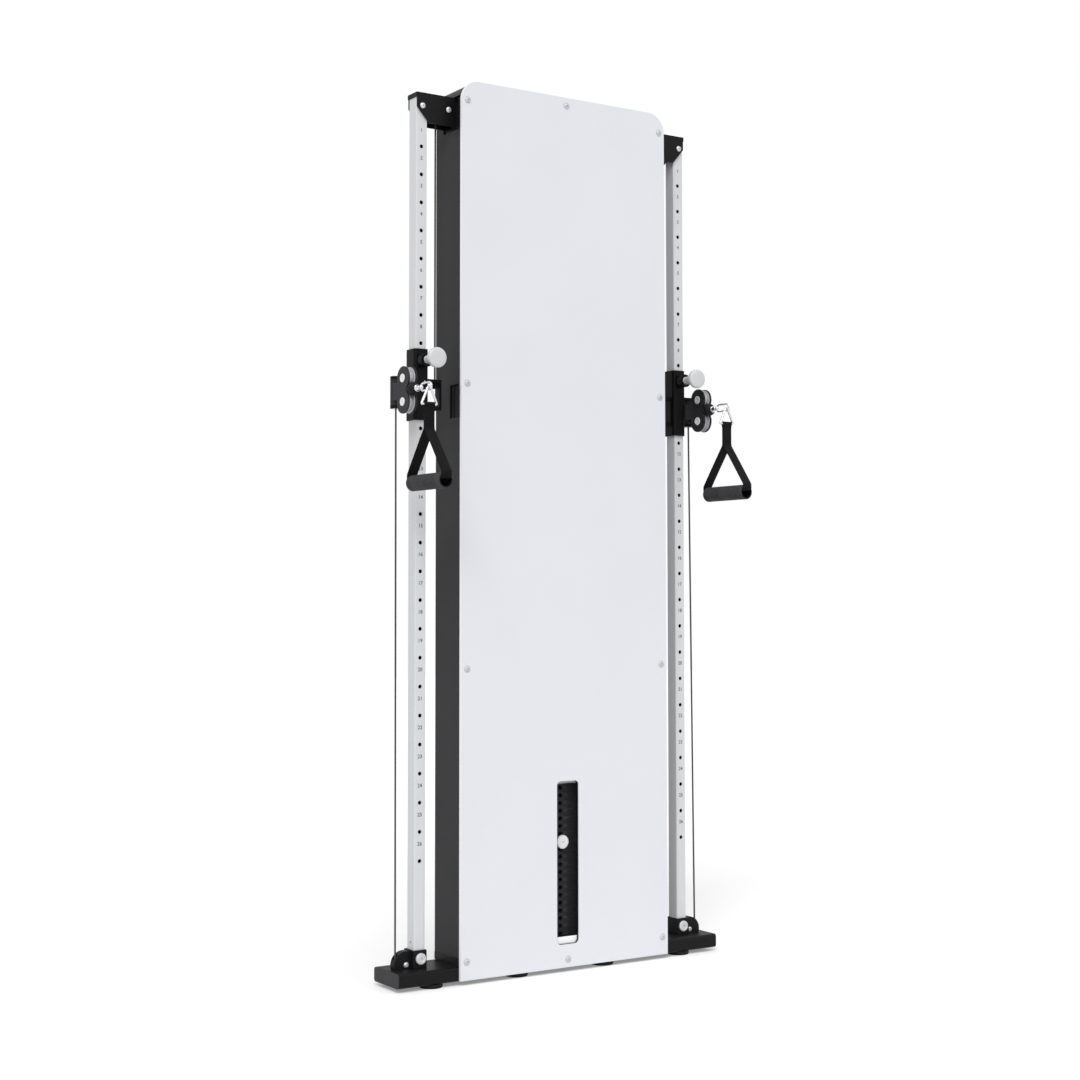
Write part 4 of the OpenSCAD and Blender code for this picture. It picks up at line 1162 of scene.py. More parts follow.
@dataclass
class Columns:
    """The two numbered columns with their brackets, bolts and pulleys."""

    finishes: Finishes
    hole_count: int = 26
    hole_pitch: float = 70 * MM
    first_hole_z: float = 300 * MM
    column_x: float = 397 * MM
    number_up: float = 41 * MM
    number_h: float = 9 * MM
    corner_r: float = 3.0 * MM
    wall: float = 2.5 * MM
    tab_low: Point = (411.6 * MM, -5.9 * MM, 2172.5 * MM)
    tab_high: Point = (414.2 * MM, 40.9 * MM, 2184.3 * MM)
    axle_r: float = 5.0
    head_up: float = 3.9
    top_z: float = 2151 * MM
    foot_z: float = 54.5 * MM
    plane_y: float = 17.5 * MM
    wheel_half: float = 6.5
    top_x: float = 323 * MM
    inner_x: float = 223 * MM
    foot_x: float = 428.8 * MM
    foot_bolt_z: float = 68 * MM
    foot_head: float = 10.0
    arm_plates: tuple[float, ...] = (-6.0, -2.0, 37.0, 41.0)
    shoe_plates: tuple[float, ...] = (7.5, 10.5, 24.5, 27.5)

    def build(self) -> None:
        """Builds the columns' pieces."""
        for side in Side:
            self.column(side)
            self.numbers(side)
            for stem, name in (("top_bracket", "top_arm"), ("bottom_bracket", "foot_shoe")):
                Bench.eased(side.node(stem), side.node(name), 0.9 * MM, self.finishes.black, "stand")
            self.arm_tab(side)
            for stem in ("top", "foot", "inner", "crown"):
                Pulleys.frame_pulley(self.finishes, side, stem)
        self.bolts()

    def column(self, side: Side) -> None:
        """Builds one column as a rolled tube with round corners, its inner walls painted dark as shade.

        Args:
            side: the column's side.
        """
        node = side.node("column")
        column = Bench.worked(node, side.node("column_tube"))
        low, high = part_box(node)
        mesh = column.data

        def is_corner(edge: bpy.types.MeshEdge) -> bool:
            """Returns whether an edge is one of the tube's four outer uprights."""
            first, second = (mesh.vertices[index].co for index in edge.vertices)
            upright = abs(first.x - second.x) + abs(first.y - second.y) < 0.01 * MM
            at_side = min(first.x - low.x, high.x - first.x) < 0.01 * MM
            return upright and at_side and min(first.y - low.y, high.y - first.y) < 0.01 * MM

        Bench.fold(column, self.corner_r, is_corner)
        Bench.round_edges(column, 0.35 * MM, 1, 60)
        Bench.smooth(column)
        # The inner walls take the dark second paint, which is painted shade inside the tube.
        for coat in (self.finishes.column, self.finishes.shadow):
            column.data.materials.append(coat.material)
        reach = self.wall + 0.1 * MM
        middle = (low + high) / 2
        for polygon in column.data.polygons:
            spot = polygon.center
            at_wall = low.x + reach > spot.x or spot.x > high.x - reach
            at_wall = at_wall or low.y + reach > spot.y or spot.y > high.y - reach
            outwards = [polygon.normal[axis] * (spot[axis] - middle[axis]) for axis in (0, 1)]
            facing = sum(abs(share) for share in outwards)
            if at_wall and sum(outwards) < -0.9 * facing and facing > 5 * MM:
                polygon.material_index = 1
        Bench.dress(column, self.finishes.column, "stand", node)

    def arm_tab(self, side: Side) -> None:
        """Builds the tab that closes a top arm's outer end over its column.

        Args:
            side: the arm's side.
        """
        corners = [(side.value * x, y, z) for x, y, z in (self.tab_low, self.tab_high)]
        tab = Bench.sheet(*corners, 0.8 * MM)
        tab.name = side.node("top_arm_tab")
        Bench.show(tab, self.finishes.black, "stand")

    def numbers(self, side: Side) -> None:
        """Prints the hole numbers, 1 at the top.

        Args:
            side: the column's side.
        """
        made = []
        for index in range(self.hole_count):
            z = self.first_hole_z + index * self.hole_pitch + self.number_up
            place = (side.value * self.column_x, -0.02 * MM, z)
            made.append(Bench.number(str(self.hole_count - index), self.number_h, place))
        Bench.dress(Bench.join(made, side.node("column_numbers")), self.finishes.ink, "stand")

    def bolts(self) -> None:
        """Builds the bolts that carry the pulleys and hold the brackets."""
        made = []
        middle = self.plane_y / MM
        for side in Side:
            for x, z, plates, head, collars in (
                (self.top_x, self.top_z, self.arm_plates, 7.5, True),
                (self.column_x, self.top_z, self.arm_plates, 7.5, False),
                (self.inner_x, self.top_z, self.arm_plates, 7.5, True),
                (self.inner_x, self.foot_z, self.shoe_plates, 6.0, False),
                (self.foot_x, self.foot_z, self.shoe_plates, 7.0, False),
            ):
                at = (side.value * x, 0.0, z)
                made.append(self.bolt(at, plates, head))
                gaps = (
                    (plates[1] + 0.1, middle - self.wheel_half), (middle + self.wheel_half, plates[2] - 0.1),
                )
                for low, high in gaps if collars else ():
                    collar = [(5.1, -high), (8.0, -high), (8.0, -low), (5.1, -low)]
                    made.append(Bench.lathe("collar", collar, at, Along.FRONT, 32))
            made.append(self.foot_bolt(side))
        bolts = Bench.join(made, "pulley_and_bracket_bolts")
        Bench.show(bolts, self.finishes.zinc, "stand", "bracket_bolts")

    def bolt(self, at: Point, plates: tuple[float, ...], head: float) -> Piece:
        """Builds one button-head bolt along Y with its nut.

        Args:
            at: its axis, at the level where Y is 0.
            plates: the faces of the two plates that it holds, from front to back, in millimetres.
            head: the head's radius in millimetres.

        Returns:
            The bolt with its nut.
        """
        front, back = -plates[0], -plates[3]
        profile = [
            (0, front + self.head_up), (head * 0.5, front + 3.7), (head * 0.8, front + 2.8),
            (head * 0.95, front + 1.6), (head, front + 0.9), (head, front + 0.05),
            (self.axle_r, front + 0.05), (self.axle_r, back - 5.0), (self.axle_r - 1, back - 6.0),
            (0, back - 6.0),
        ]
        screw = Bench.lathe("bolt", profile, at, Along.FRONT, 32)
        mouth = (at[0], at[1] - (front + self.head_up) * MM, at[2])
        Bench.socket(screw, mouth, Along.FRONT, 5 * MM, 2.4 * MM)
        place = Matrix.Translation((at[0], at[1] - (back - 2.5) * MM, at[2])) @ Along.FRONT.turn()
        nut = Bench.start("cylinder", place, vertices=6, radius=head * MM, depth=4.8 * MM)
        Bench.round_edges(nut, 0.5 * MM, 2, 50)
        return Bench.join([screw, nut], "bolt")

    def foot_bolt(self, side: Side) -> Piece:
        """Builds the large flat-head bolt at a column's foot.

        Args:
            side: the column's side.

        Returns:
            The bolt.
        """
        at = (side.value * self.column_x, 0.0, self.foot_bolt_z)
        profile = [
            (0, self.foot_head), (9.0, self.foot_head), (9.6, 10.8), (12.6, 10.8), (13.6, 10.2),
            (14.0, 9.2), (14.0, 6.1), (self.axle_r, 6.1), (self.axle_r, -5.4), (0, -5.4),
        ]
        bolt = Bench.lathe("foot_bolt", profile, at, Along.FRONT, 48)
        Bench.socket(bolt, (at[0], -self.foot_head * MM, at[2]), Along.FRONT, 8 * MM, 3 * MM)
        return bolt


class Pulleys:
    """Pulleys with their bearings."""

    radii: ClassVar[tuple[float, ...]] = (5.15, 7.6, 10.4, 12.6)
    proud: ClassVar[float] = 0.35

    @classmethod
    def bearing(cls, coat: Coat, name: str, node: str, along: Along, body: str) -> None:
        """Builds a shielded bearing in a pulley's middle.

        Args:
            coat: the bearing's finish.
            name: the piece's name.
            node: the pulley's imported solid.
            along: the pulley's axis.
            body: the body that it rides on.
        """
        low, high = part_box(node)
        thick = high.y - low.y if along is Along.FRONT else high.x - low.x
        half = thick / MM / 2 + cls.proud
        bore, inner, shield, outer = cls.radii
        face = [
            (bore, half - 0.3), (bore + 0.3, half), (inner, half), (inner + 0.2, half - 0.5),
            (shield, half - 0.5), (shield + 0.2, half), (outer - 0.3, half), (outer, half - 0.3),
        ]
        profile = face + [(radius, -height) for radius, height in face[::-1]]
        bearing = Bench.lathe(name, profile, tuple((low + high) / 2), along, 40)
        Bench.show(bearing, coat, body)

    @classmethod
    def frame_pulley(cls, finishes: Finishes, side: Side, stem: str) -> None:
        """Builds one of the tower's nylon pulleys and its bearing.

        Args:
            finishes: the machine's finishes.
            side: the pulley's side.
            stem: the first word of its node, its body and its pieces.
        """
        node, body = side.node(f"{stem}_sheave"), side.node(f"{stem}_pulley")
        Bench.eased(node, side.node(f"{stem}_wheel"), 0.25 * MM, finishes.nylon, body)
        cls.bearing(finishes.zinc, side.node(f"{stem}_bearing"), node, Along.FRONT, body)


@dataclass
class Stack:
    """The weight stack: plates, rods, yoke, floating pulleys and selector pin."""

    finishes: Finishes
    plate_pitch: float = 19.2 * MM
    stack_top: float = 464 * MM
    plate_count: int = 20
    lifted_count: int = 8
    weight_step: int = 5
    number_h: float = 7 * MM
    number_x: float = 15 * MM
    bush_r: float = 6.2
    pin_set_back: float = 5.0
    pin_r: float = 4.0
    sheet_half: float = 130 * MM
    sheet_edge: float = 3 * MM
    sheet_t: float = 1.6 * MM
    stem_hole_r: float = 12 * MM

    def build(self) -> None:
        """Builds the stack's pieces."""
        coats = self.finishes
        for kind, body in (("resting", "stand"), ("lifted", "weight")):
            Bench.eased(f"{kind}_plates", f"{kind}_weights", 1.4 * MM, coats.iron, body, 3)
        for kind, plates, body in (
            ("lifted", range(1, self.lifted_count + 1), "weight"),
            ("resting", range(self.lifted_count + 1, self.plate_count + 1), "stand"),
        ):
            self.numbers(f"{kind}_numbers", plates, body)
            self.bushes(f"{kind}_pin_bushes", plates, body)
        self.top_sheet()
        Bench.eased("guide_rods", "guide_bars", 0.0, coats.rod, "stand")
        Bench.eased("stack_bumpers", "rod_buffers", 1.5 * MM, coats.rubber, "stand", 3)
        Bench.eased("lift_yoke", "lifting_yoke", 0.8 * MM, coats.black, "weight")
        for side in Side:
            Pulleys.frame_pulley(coats, side, "float")
        self.pin()

    def level(self, number: int) -> float:
        """Returns the height of a plate's middle, counted from the top plate."""
        return self.stack_top - (number - 0.5) * self.plate_pitch

    def numbers(self, name: str, plates: range, body: str) -> None:
        """Prints the weights on the plates' front faces.

        Args:
            name: the piece's name.
            plates: the plates, counted from the top.
            body: the body that it rides on.
        """
        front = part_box("resting_plates")[0].y
        made = []
        for number in plates:
            place = (self.number_x, front - 0.02 * MM, self.level(number))
            made.append(Bench.number(str(number * self.weight_step), self.number_h, place))
        Bench.dress(Bench.join(made, name), self.finishes.plate_ink, body)

    def bushes(self, name: str, plates: range, body: str) -> None:
        """Presses a flanged black bush into each plate's pin hole.

        Args:
            name: the piece's name.
            plates: the plates, counted from the top.
            body: the body that it rides on.
        """
        front = -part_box("resting_plates")[0].y / MM
        profile = [
            (4.6, front - 8.0), (5.4, front - 8.0), (5.4, front + 0.1), (self.bush_r, front + 0.1),
            (self.bush_r, front + 0.5), (self.bush_r - 0.5, front + 0.8), (5.0, front + 0.8),
            (4.6, front + 0.3),
        ]
        pattern = Bench.lathe("pin_bush", profile, (0, 0, 0), Along.FRONT, 32)
        moves = [Matrix.Translation((0, 0, self.level(number))) for number in plates]
        Bench.show(Bench.copies(pattern, moves, name), self.finishes.bush, body)

    def top_sheet(self) -> None:
        """Builds the bright sheet that covers the top plate, between the guide rods."""
        low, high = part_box("lifted_plates")
        sheet = Bench.sheet(
            (-self.sheet_half, low.y + self.sheet_edge, self.stack_top + 0.05 * MM),
            (self.sheet_half, high.y - self.sheet_edge, self.stack_top + self.sheet_t), 0.4 * MM,
        )
        place = Matrix.Translation((0, (low.y + high.y) / 2, self.stack_top))
        hole = Bench.start("cylinder", place, vertices=40, radius=self.stem_hole_r, depth=20 * MM)
        Bench.cut(sheet, hole)
        sheet.name = "top_plate_sheet"
        Bench.show(sheet, self.finishes.zinc, "weight")

    def pin(self) -> None:
        """Builds the selector pin with its moulded knob."""
        low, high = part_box("selector_pin")
        at = (0, 0, (low.z + high.z) / 2)
        front = -low.y / MM - self.pin_set_back
        bore = self.pin_r + 0.05
        knob = [
            (bore, front - 12.0), (12.2, front - 12.0), (12.8, front - 11.4), (13.0, front - 8.6),
            (14.2, front - 7.8), (16.4, front - 7.2), (17.3, front - 6.2), (17.3, front - 3.4),
            (16.6, front - 1.8), (14.6, front - 0.7), (10.0, front - 0.2), (5.0, front - 0.3),
            (bore, front - 0.5),
        ]
        head = Bench.lathe("pin_knob", knob, at, Along.FRONT, 64)
        Bench.show(head, self.finishes.white, "selector", "selector_pin", angle=30)
        tip = -high.y / MM
        bar = [(0, front - 0.5), (self.pin_r, front - 0.5), (self.pin_r, tip + 1.2), (2.9, tip), (0, tip)]
        Bench.show(Bench.lathe("pin_shank", bar, at, Along.FRONT, 32), self.finishes.zinc, "selector")


@dataclass
class Carriage:
    """One sliding carriage with its locking knob and its swivelling pulley block."""

    finishes: Finishes
    side: Side
    column_x: float = 397 * MM
    swivel_x: float = 451 * MM
    plunger_z: float = 1516 * MM
    pair_y: float = -29 * MM
    pair_levels: tuple[float, float] = (1466.6 * MM, 1409.2 * MM)
    cheek_half: float = 12.5
    sleeve_half_w: float = 20 * MM
    sleeve_front: float = -5 * MM
    sleeve_low: float = 1370 * MM
    sleeve_high: float = 1546 * MM
    corner_r: float = 9 * MM

    def build(self) -> None:
        """Builds the carriage's pieces."""
        self.sleeve()
        self.knob()
        self.block()
        self.wheels()

    def sleeve(self) -> None:
        """Builds the welded sleeve and its pressed-in swivel bushes."""
        node = self.side.node("carriage")
        body = self.side.node("carriage_body")
        name = self.side.node("carriage_sleeve")
        sleeve, *bushes = Bench.split(Bench.worked(node, name))
        for sign in (-1, 1):
            self.round_corner(sleeve, sign)
        Bench.round_edges(sleeve, 1.1 * MM, 3)
        sleeve.name = name
        Bench.show(sleeve, self.finishes.sleeve, body, node)
        Bench.show(Bench.join(bushes, self.side.node("swivel_bushes")), self.finishes.zinc, body)

    def round_corner(self, sleeve: Piece, sign: int) -> None:
        """Rounds one of the sleeve's two front uprights back to the radius of a drawn tube.

        Args:
            sleeve: the sleeve.
            sign: -1 for the upright at the lower X, 1 for the one at the higher X.
        """
        radius = self.corner_r
        height = self.sleeve_high - self.sleeve_low + 20 * MM
        x = self.side.value * self.column_x + sign * self.sleeve_half_w
        middle_z = (self.sleeve_low + self.sleeve_high) / 2
        centre = Matrix.Translation((x - sign * radius, self.sleeve_front + radius, middle_z))
        outwards = Matrix.Translation((sign * radius, -radius, 0))
        stretch = Matrix.Diagonal((1.0, 1.0, height / (2 * radius), 1.0))
        waste = Bench.start("cube", centre @ outwards @ stretch, size=2 * radius)
        kept = Bench.start("cylinder", centre, vertices=64, radius=radius, depth=height + 10 * MM)
        Bench.cut(waste, kept)
        Bench.cut(sleeve, waste)

    def knob(self) -> None:
        """Builds the locking knob: a flat mushroom head on a conical neck, with its pin."""
        node = self.side.node("plunger")
        low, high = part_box(node)
        face, tip = -low.y / MM, -high.y / MM
        # Radius, and distance behind the head's face.
        turned = [
            (0, 0.4), (12.0, 0.6), (18.0, 1.0), (22.0, 1.8), (24.0, 3.2), (24.9, 5.2), (25.0, 8.0),
            (25.0, 11.0), (24.6, 13.0), (23.2, 15.4), (20.4, 18.6), (17.6, 22.4), (15.4, 27.0),
            (13.6, 32.0), (12.2, 37.0), (11.0, 42.0), (10.2, 46.0), (10.0, 49.4), (9.0, 50.0), (9.0, 51.2),
            (10.0, 51.8), (10.0, 55.4), (9.5, 55.9), (4.7, 55.9),
        ]
        profile = [(radius, face - back) for radius, back in turned]
        profile += [(4.7, tip + 3.0), (3.2, tip), (0, tip)]
        at = (self.side.value * self.column_x, 0.0, self.plunger_z)
        knob = Bench.lathe(self.side.node("locking_knob"), profile, at, Along.FRONT, 72)
        Bench.show(knob, self.finishes.knob, self.side.node("plunger_body"), node, angle=28)

    def block(self) -> None:
        """Builds the block's cheeks and its two wide-head axle bolts."""
        node = self.side.node("pulley_block")
        body = self.side.node("block")
        cheeks, *spares = Bench.split(Bench.worked(node, self.side.node("block_cheeks")))
        for spare in spares:
            bpy.data.objects.remove(spare)
        Bench.round_edges(cheeks, 0.9 * MM, 3)
        cheeks.name = self.side.node("block_cheeks")
        Bench.show(cheeks, self.finishes.block, body, node)
        face = self.cheek_half
        mouth = face + 2.2
        profile = [
            (0, mouth), (7.4, mouth), (7.8, face + 2.6), (9.4, face + 2.6), (10.2, mouth),
            (10.5, face + 1.5), (10.5, face + 0.06), (5.0, face + 0.06), (5.0, 0.0), (0, 0.0),
        ]
        made = []
        for z in self.pair_levels:
            at = (self.side.value * self.swivel_x, self.pair_y, z)
            for along in (Along.RIGHT, Along.LEFT):
                bolt = Bench.lathe("axle_bolt", profile, at, along, 40)
                spot = (at[0] + along.value[0] * mouth * MM, at[1], at[2])
                Bench.socket(bolt, spot, along, 6 * MM, 2.4 * MM)
                made.append(bolt)
        bolts = Bench.join(made, self.side.node("block_axle_bolts"))
        Bench.show(bolts, self.finishes.bolt_cover, body)

    def wheels(self) -> None:
        """Builds the block's two pulleys and the small guide roller."""
        for stem, name, body in (
            ("block_sheave_upper", "upper_wheel", "upper_pulley"),
            ("block_sheave_lower", "lower_wheel", "lower_pulley"),
            ("guide_roller", "small_wheel", "roller"),
        ):
            node, rides = self.side.node(stem), self.side.node(body)
            Bench.eased(node, self.side.node(name), 0.25 * MM, self.finishes.alloy, rides)
            if name != "small_wheel":
                bearing = self.side.node(f"{name}_bearing")
                Pulleys.bearing(self.finishes.zinc, bearing, node, Along.RIGHT, rides)


@dataclass
class Handle:
    """One stirrup handle: ball stop, snap hook, ring, sewn webbing and foam grip."""

    finishes: Finishes
    side: Side
    out_x: float = 451 * MM
    hook_z: float = 1437.9 * MM
    ball_y: float = -62.75 * MM
    ball_r: float = 16.5
    ball_front: float = 13.6
    ball_groove: float = 0.5
    cone_front: float = -94.25 * MM
    hook_gap: float = 0.3 * MM
    handle_y: float = -137 * MM
    loop_r: float = 9 * MM
    wire_r: float = 2.5 * MM
    ring_wire_r: float = 3.1 * MM
    ring_arc_r: float = 6.2 * MM
    ring_arc_z: float = 1428.7 * MM
    ring_bar_z: float = 1394 * MM
    ring_half_w: float = 20 * MM
    ring_bend: float = 2.4 * MM
    grip_z: float = 1210 * MM
    grip_len: float = 159 * MM
    grip_r: float = 19.5
    bore_r: float = 15.6
    sleeve_t: float = 3.1
    strap_w: float = 28 * MM
    strap_t: float = 2.6 * MM
    strap_turn_r: float = 5 * MM
    fork_z: float = 1338 * MM
    stitch: float = 3.4 * MM
    thread_r: float = 0.45 * MM
    cable_r: float = 2.25 * MM
    cable_back_y: float = 18.55 * MM

    def __post_init__(self) -> None:
        """Works out the handle's plane and the bodies that its pieces ride on."""
        self.x = self.out_x * self.side.value
        self.body = self.side.node("handle")
        self.stirrup = self.side.node("stirrup")

    def build(self) -> None:
        """Builds the handle's pieces."""
        self.ball()
        self.cable()
        self.hook()
        self.ring()
        self.webbing()
        self.grip()

    def ball(self) -> None:
        """Builds the rubber ball stop with its parting line and its ribbed ferrule."""
        arc = []
        for step in range(25):
            turn = math.pi * (step + 1.7) / 28
            radius = self.ball_r - (self.ball_groove if step == 12 else 0.0)
            arc.append((radius * math.sin(turn), radius * math.cos(turn)))
        profile = [(2.4, self.ball_front), (9.0, 14.0), (9.0, 13.9)]
        profile += [point for point in arc if point[1] < self.ball_front]
        profile += [(3.4, -16.2), (2.4, -15.6)]
        at = (self.x, self.ball_y, self.hook_z)
        ball = Bench.lathe(self.side.node("stop_ball"), profile, at, Along.FRONT, 56)
        Bench.show(ball, self.finishes.ball, self.body, self.side.node("ball_stop"), angle=50)
        cone = [
            (2.4, 31.4), (4.6, 31.4), (5.0, 30.9), (5.0, 29.2), (5.6, 28.6), (6.0, 26.2), (6.6, 23.0),
            (7.2, 19.6), (7.6, 18.4), (8.2, 18.0), (8.5, 17.4), (8.5, 14.6), (8.0, 13.7), (2.4, 13.7),
        ]
        socket = Bench.lathe(self.side.node("cable_socket"), cone, at, Along.FRONT, 48)
        Bench.show(socket, self.finishes.chrome, self.body, angle=35)

    def cable(self) -> None:
        """Builds the cable's stretch from the block to the ball, which pays out as the handle is pulled."""
        levels = (self.cable_back_y, 0.0, self.cone_front + 3 * MM)
        points = [(self.x, y, self.hook_z) for y in levels]
        cable = Bench.wire(self.side.node("handle_cable"), points, self.cable_r)
        Bench.pay_out(cable, self.finishes.jacket, (self.side.node("block"), self.body), *points[1:])

    def hook(self) -> None:
        """Builds the snap hook: swivel barrel, forged loop and sprung gate."""
        eye_y = self.cone_front - self.hook_gap
        back = eye_y - 3 * MM - self.loop_r
        steps = 12
        line = []
        for centre, start in ((self.handle_y, math.pi / 2), (back, 3 * math.pi / 2)):
            for step in range(steps + 1):
                turn = start + math.pi * step / steps
                y = centre + self.loop_r * math.cos(turn)
                line.append((self.x, y, self.hook_z + self.loop_r * math.sin(turn)))
        loop = Bench.wire("loop", line, self.wire_r, 16, True)
        barrel = [
            (0, 0.1), (3.2, 0.0), (4.4, 0.7), (4.6, 1.6), (4.6, 3.0), (5.2, 3.6), (5.2, 5.2), (4.4, 6.2),
            (3.0, 7.4), (0, 7.6),
        ]
        eye = Bench.lathe("barrel", barrel, (self.x, eye_y, self.hook_z), Along.FRONT, 36)
        gate = [
            (0, 0), (2.0, 0), (2.9, 0.8), (2.9, 5.4), (2.5, 5.8), (2.5, 6.4), (2.9, 6.8), (2.9, 9.2),
            (2.0, 9.8), (2.0, 16.0), (2.7, 16.6), (2.7, 19.4), (0, 19.8),
        ]
        gate_z = self.hook_z + self.loop_r
        pull = Bench.lathe("gate", gate, (self.x, back - 4 * MM, gate_z), Along.FRONT, 28)
        thumb = [(0, 4.6), (1.2, 4.4), (1.7, 3.8), (1.7, 0.0), (0, 0.0)]
        tab = Bench.lathe("thumb", thumb, (self.x, back - 9 * MM, gate_z + 0.6 * MM), Along.UP, 20)
        hook = Bench.join([loop, eye, pull, tab], self.side.node("spring_hook"))
        Bench.show(hook, self.finishes.chrome, self.body, self.side.node("snap_hook"), angle=45)

    def ring(self) -> None:
        """Builds the triangular ring that the webbing is sewn round."""
        steps = 12
        turns = [math.pi * step / steps for step in range(steps + 1)]
        radius, bend = self.ring_arc_r, self.ring_bend
        line = [(radius * math.cos(turn), self.ring_arc_z + radius * math.sin(turn)) for turn in turns]
        bend_x, bend_z = self.ring_half_w - bend, self.ring_bar_z + bend
        turns = [math.radians(value) for value in (10, -20, -50, -90)]
        corner = [(bend_x + bend * math.cos(turn), bend_z + bend * math.sin(turn)) for turn in turns]
        line += [(-x, z) for x, z in corner] + corner[::-1]
        points = [(self.x + x, self.handle_y, z) for x, z in line]
        ring = Bench.wire(self.side.node("triangle_ring"), points, self.ring_wire_r, 14, True)
        Bench.dress(ring, self.finishes.chrome, self.stirrup, self.side.node("strap"))

    def strap_line(self) -> Profile:
        """Works out the webbing's middle line: down the neck, out over the grip's ends and through it.

        Returns:
            The closed line, as distances from the handle's plane and levels.
        """
        half_t = self.strap_t / 2
        wrap = self.ring_wire_r + 0.35 * MM + half_t
        neck = half_t + 0.12 * MM
        end = self.grip_len / 2 + 1.9 * MM + half_t
        seat = math.sqrt((self.bore_r * MM) ** 2 - (self.strap_w / 2) ** 2)
        run_z = self.grip_z + seat - half_t - 0.4 * MM
        over_z = self.grip_z + self.grip_r * MM + 1.2 * MM
        low_z = self.ring_bar_z - 12 * MM
        turns = [math.radians(value) for value in range(0, 150, 15)]
        half = [(wrap * math.sin(turn), self.ring_bar_z + wrap * math.cos(turn)) for turn in turns]
        half += [(neck + 1.1 * MM, self.ring_bar_z - 6.5 * MM)]
        half += [(neck, low_z - step * 8 * MM) for step in range(4)]
        half += [(neck, self.fork_z + 6 * MM), (neck + 1.0 * MM, self.fork_z - 3 * MM)]
        top_y, top_z = half[-1]
        legs = 14
        for step in range(1, legs):
            part = step / legs
            sag = 1.2 * MM * math.sin(math.pi * part)
            half.append((top_y + (end - top_y) * part + sag * 0.4, top_z + (over_z - top_z) * part))
        half += [(end - 0.15 * MM, over_z), (end, over_z - 3 * MM), (end, over_z - 7 * MM)]
        turn_r = self.strap_turn_r
        for value in (0, -22, -45, -68, -90):
            turn = math.radians(value)
            half.append((end - turn_r + turn_r * math.cos(turn), run_z + turn_r + turn_r * math.sin(turn)))
        half += [(end * part, run_z) for part in (0.85, 0.6, 0.3, 0.0)]
        return half + [(-y, z) for y, z in half[-2:0:-1]]

    def webbing(self) -> None:
        """Builds the sewn webbing as one woven band through the grip, with its stitching."""
        line = [Vector(point) for point in self.strap_line()]
        section = self.band_section()
        count, around = len(line), len(section)
        lengths = [0.0]
        for index in range(count):
            lengths.append(lengths[-1] + (line[(index + 1) % count] - line[index]).length)
        corners, faces, uvs = [], [], []
        for index in range(count):
            before, here, after = (line[(index + step) % count] for step in (-1, 0, 1))
            along = ((here - before).normalized() + (after - here).normalized()).normalized()
            out = Vector((along.y, -along.x))
            for across, thick in section:
                spot = here + out * thick
                corners.append((self.x + across, self.handle_y + spot.x, spot.y))
            row, next_row = index * around, (index + 1) % count * around
            for step in range(around):
                turn = (step + 1) % around
                faces.append((row + step, row + turn, next_row + turn, next_row + step))
                left, right = section[step][0], section[turn][0]
                uvs += [(left, lengths[index]), (right, lengths[index])]
                uvs += [(right, lengths[index + 1]), (left, lengths[index + 1])]
        name = self.side.node("webbing_band")
        mesh = bpy.data.meshes.new(name)
        mesh.from_pydata(corners, [], faces)
        layer = mesh.uv_layers.new(name="weave")
        for loop, place in zip(layer.data, uvs):
            loop.uv = place
        band = Bench.hold(mesh, name)
        Bench.tidy(band)
        Bench.show(band, self.finishes.webbing, self.stirrup, angle=60)
        self.stitching()

    def band_section(self) -> Profile:
        """Works out the webbing's cross-section, with thick round selvedges.

        Returns:
            The closed outline, as distances across and through the webbing.
        """
        half_w, half_t = self.strap_w / 2, self.strap_t / 2
        shares = ((0.2 * MM, 0.55), (1.0 * MM, 1.0), (2.2 * MM, 0.86))
        rise = [(half_w - inset, half_t * share) for inset, share in shares]
        upper = [(-x, y) for x, y in rise] + [(0.0, half_t * 0.9)] + rise[::-1]
        return upper + [(x, -y) for x, y in upper[::-1]]

    def stitching(self) -> None:
        """Sews the neck: two long rows and a crossed box at each end, on both faces."""
        face = self.strap_t + 0.16 * MM
        box = 14 * MM
        top, low = self.ring_bar_z - 14 * MM, self.fork_z + 12 * MM
        half_w = self.strap_w / 2 - 3.2 * MM
        bars = [top, top - box, low + box, low]
        runs = [((x, top), (x, low)) for x in (-half_w, half_w)]
        runs += [((-half_w, z), (half_w, z)) for z in bars]
        for high_z, low_z in (bars[:2], bars[2:]):
            runs += [((-half_w, high_z), (half_w, low_z)), ((-half_w, low_z), (half_w, high_z))]
        length = self.stitch * 0.68
        still = Matrix.Identity(4)
        pattern = Bench.start("cylinder", still, vertices=6, radius=self.thread_r, depth=length)
        with Bench.editing(pattern):
            bpy.ops.mesh.bevel(offset=0.18 * MM, segments=1, affect="EDGES")
        moves = []
        for (x0, z0), (x1, z1) in runs:
            count = max(2, round(math.hypot(x1 - x0, z1 - z0) / self.stitch))
            tilt = Matrix.Rotation(math.atan2(x1 - x0, z1 - z0), 4, "Y")
            for step in range(count):
                part = (step + 0.5) / count
                x, z = self.x + x0 + (x1 - x0) * part, z0 + (z1 - z0) * part
                for y in (self.handle_y - face, self.handle_y + face):
                    moves.append(Matrix.Translation((x, y, z)) @ tilt)
        seam = Bench.copies(pattern, moves, self.side.node("webbing_stitches"))
        Bench.dress(seam, self.finishes.thread, self.stirrup)

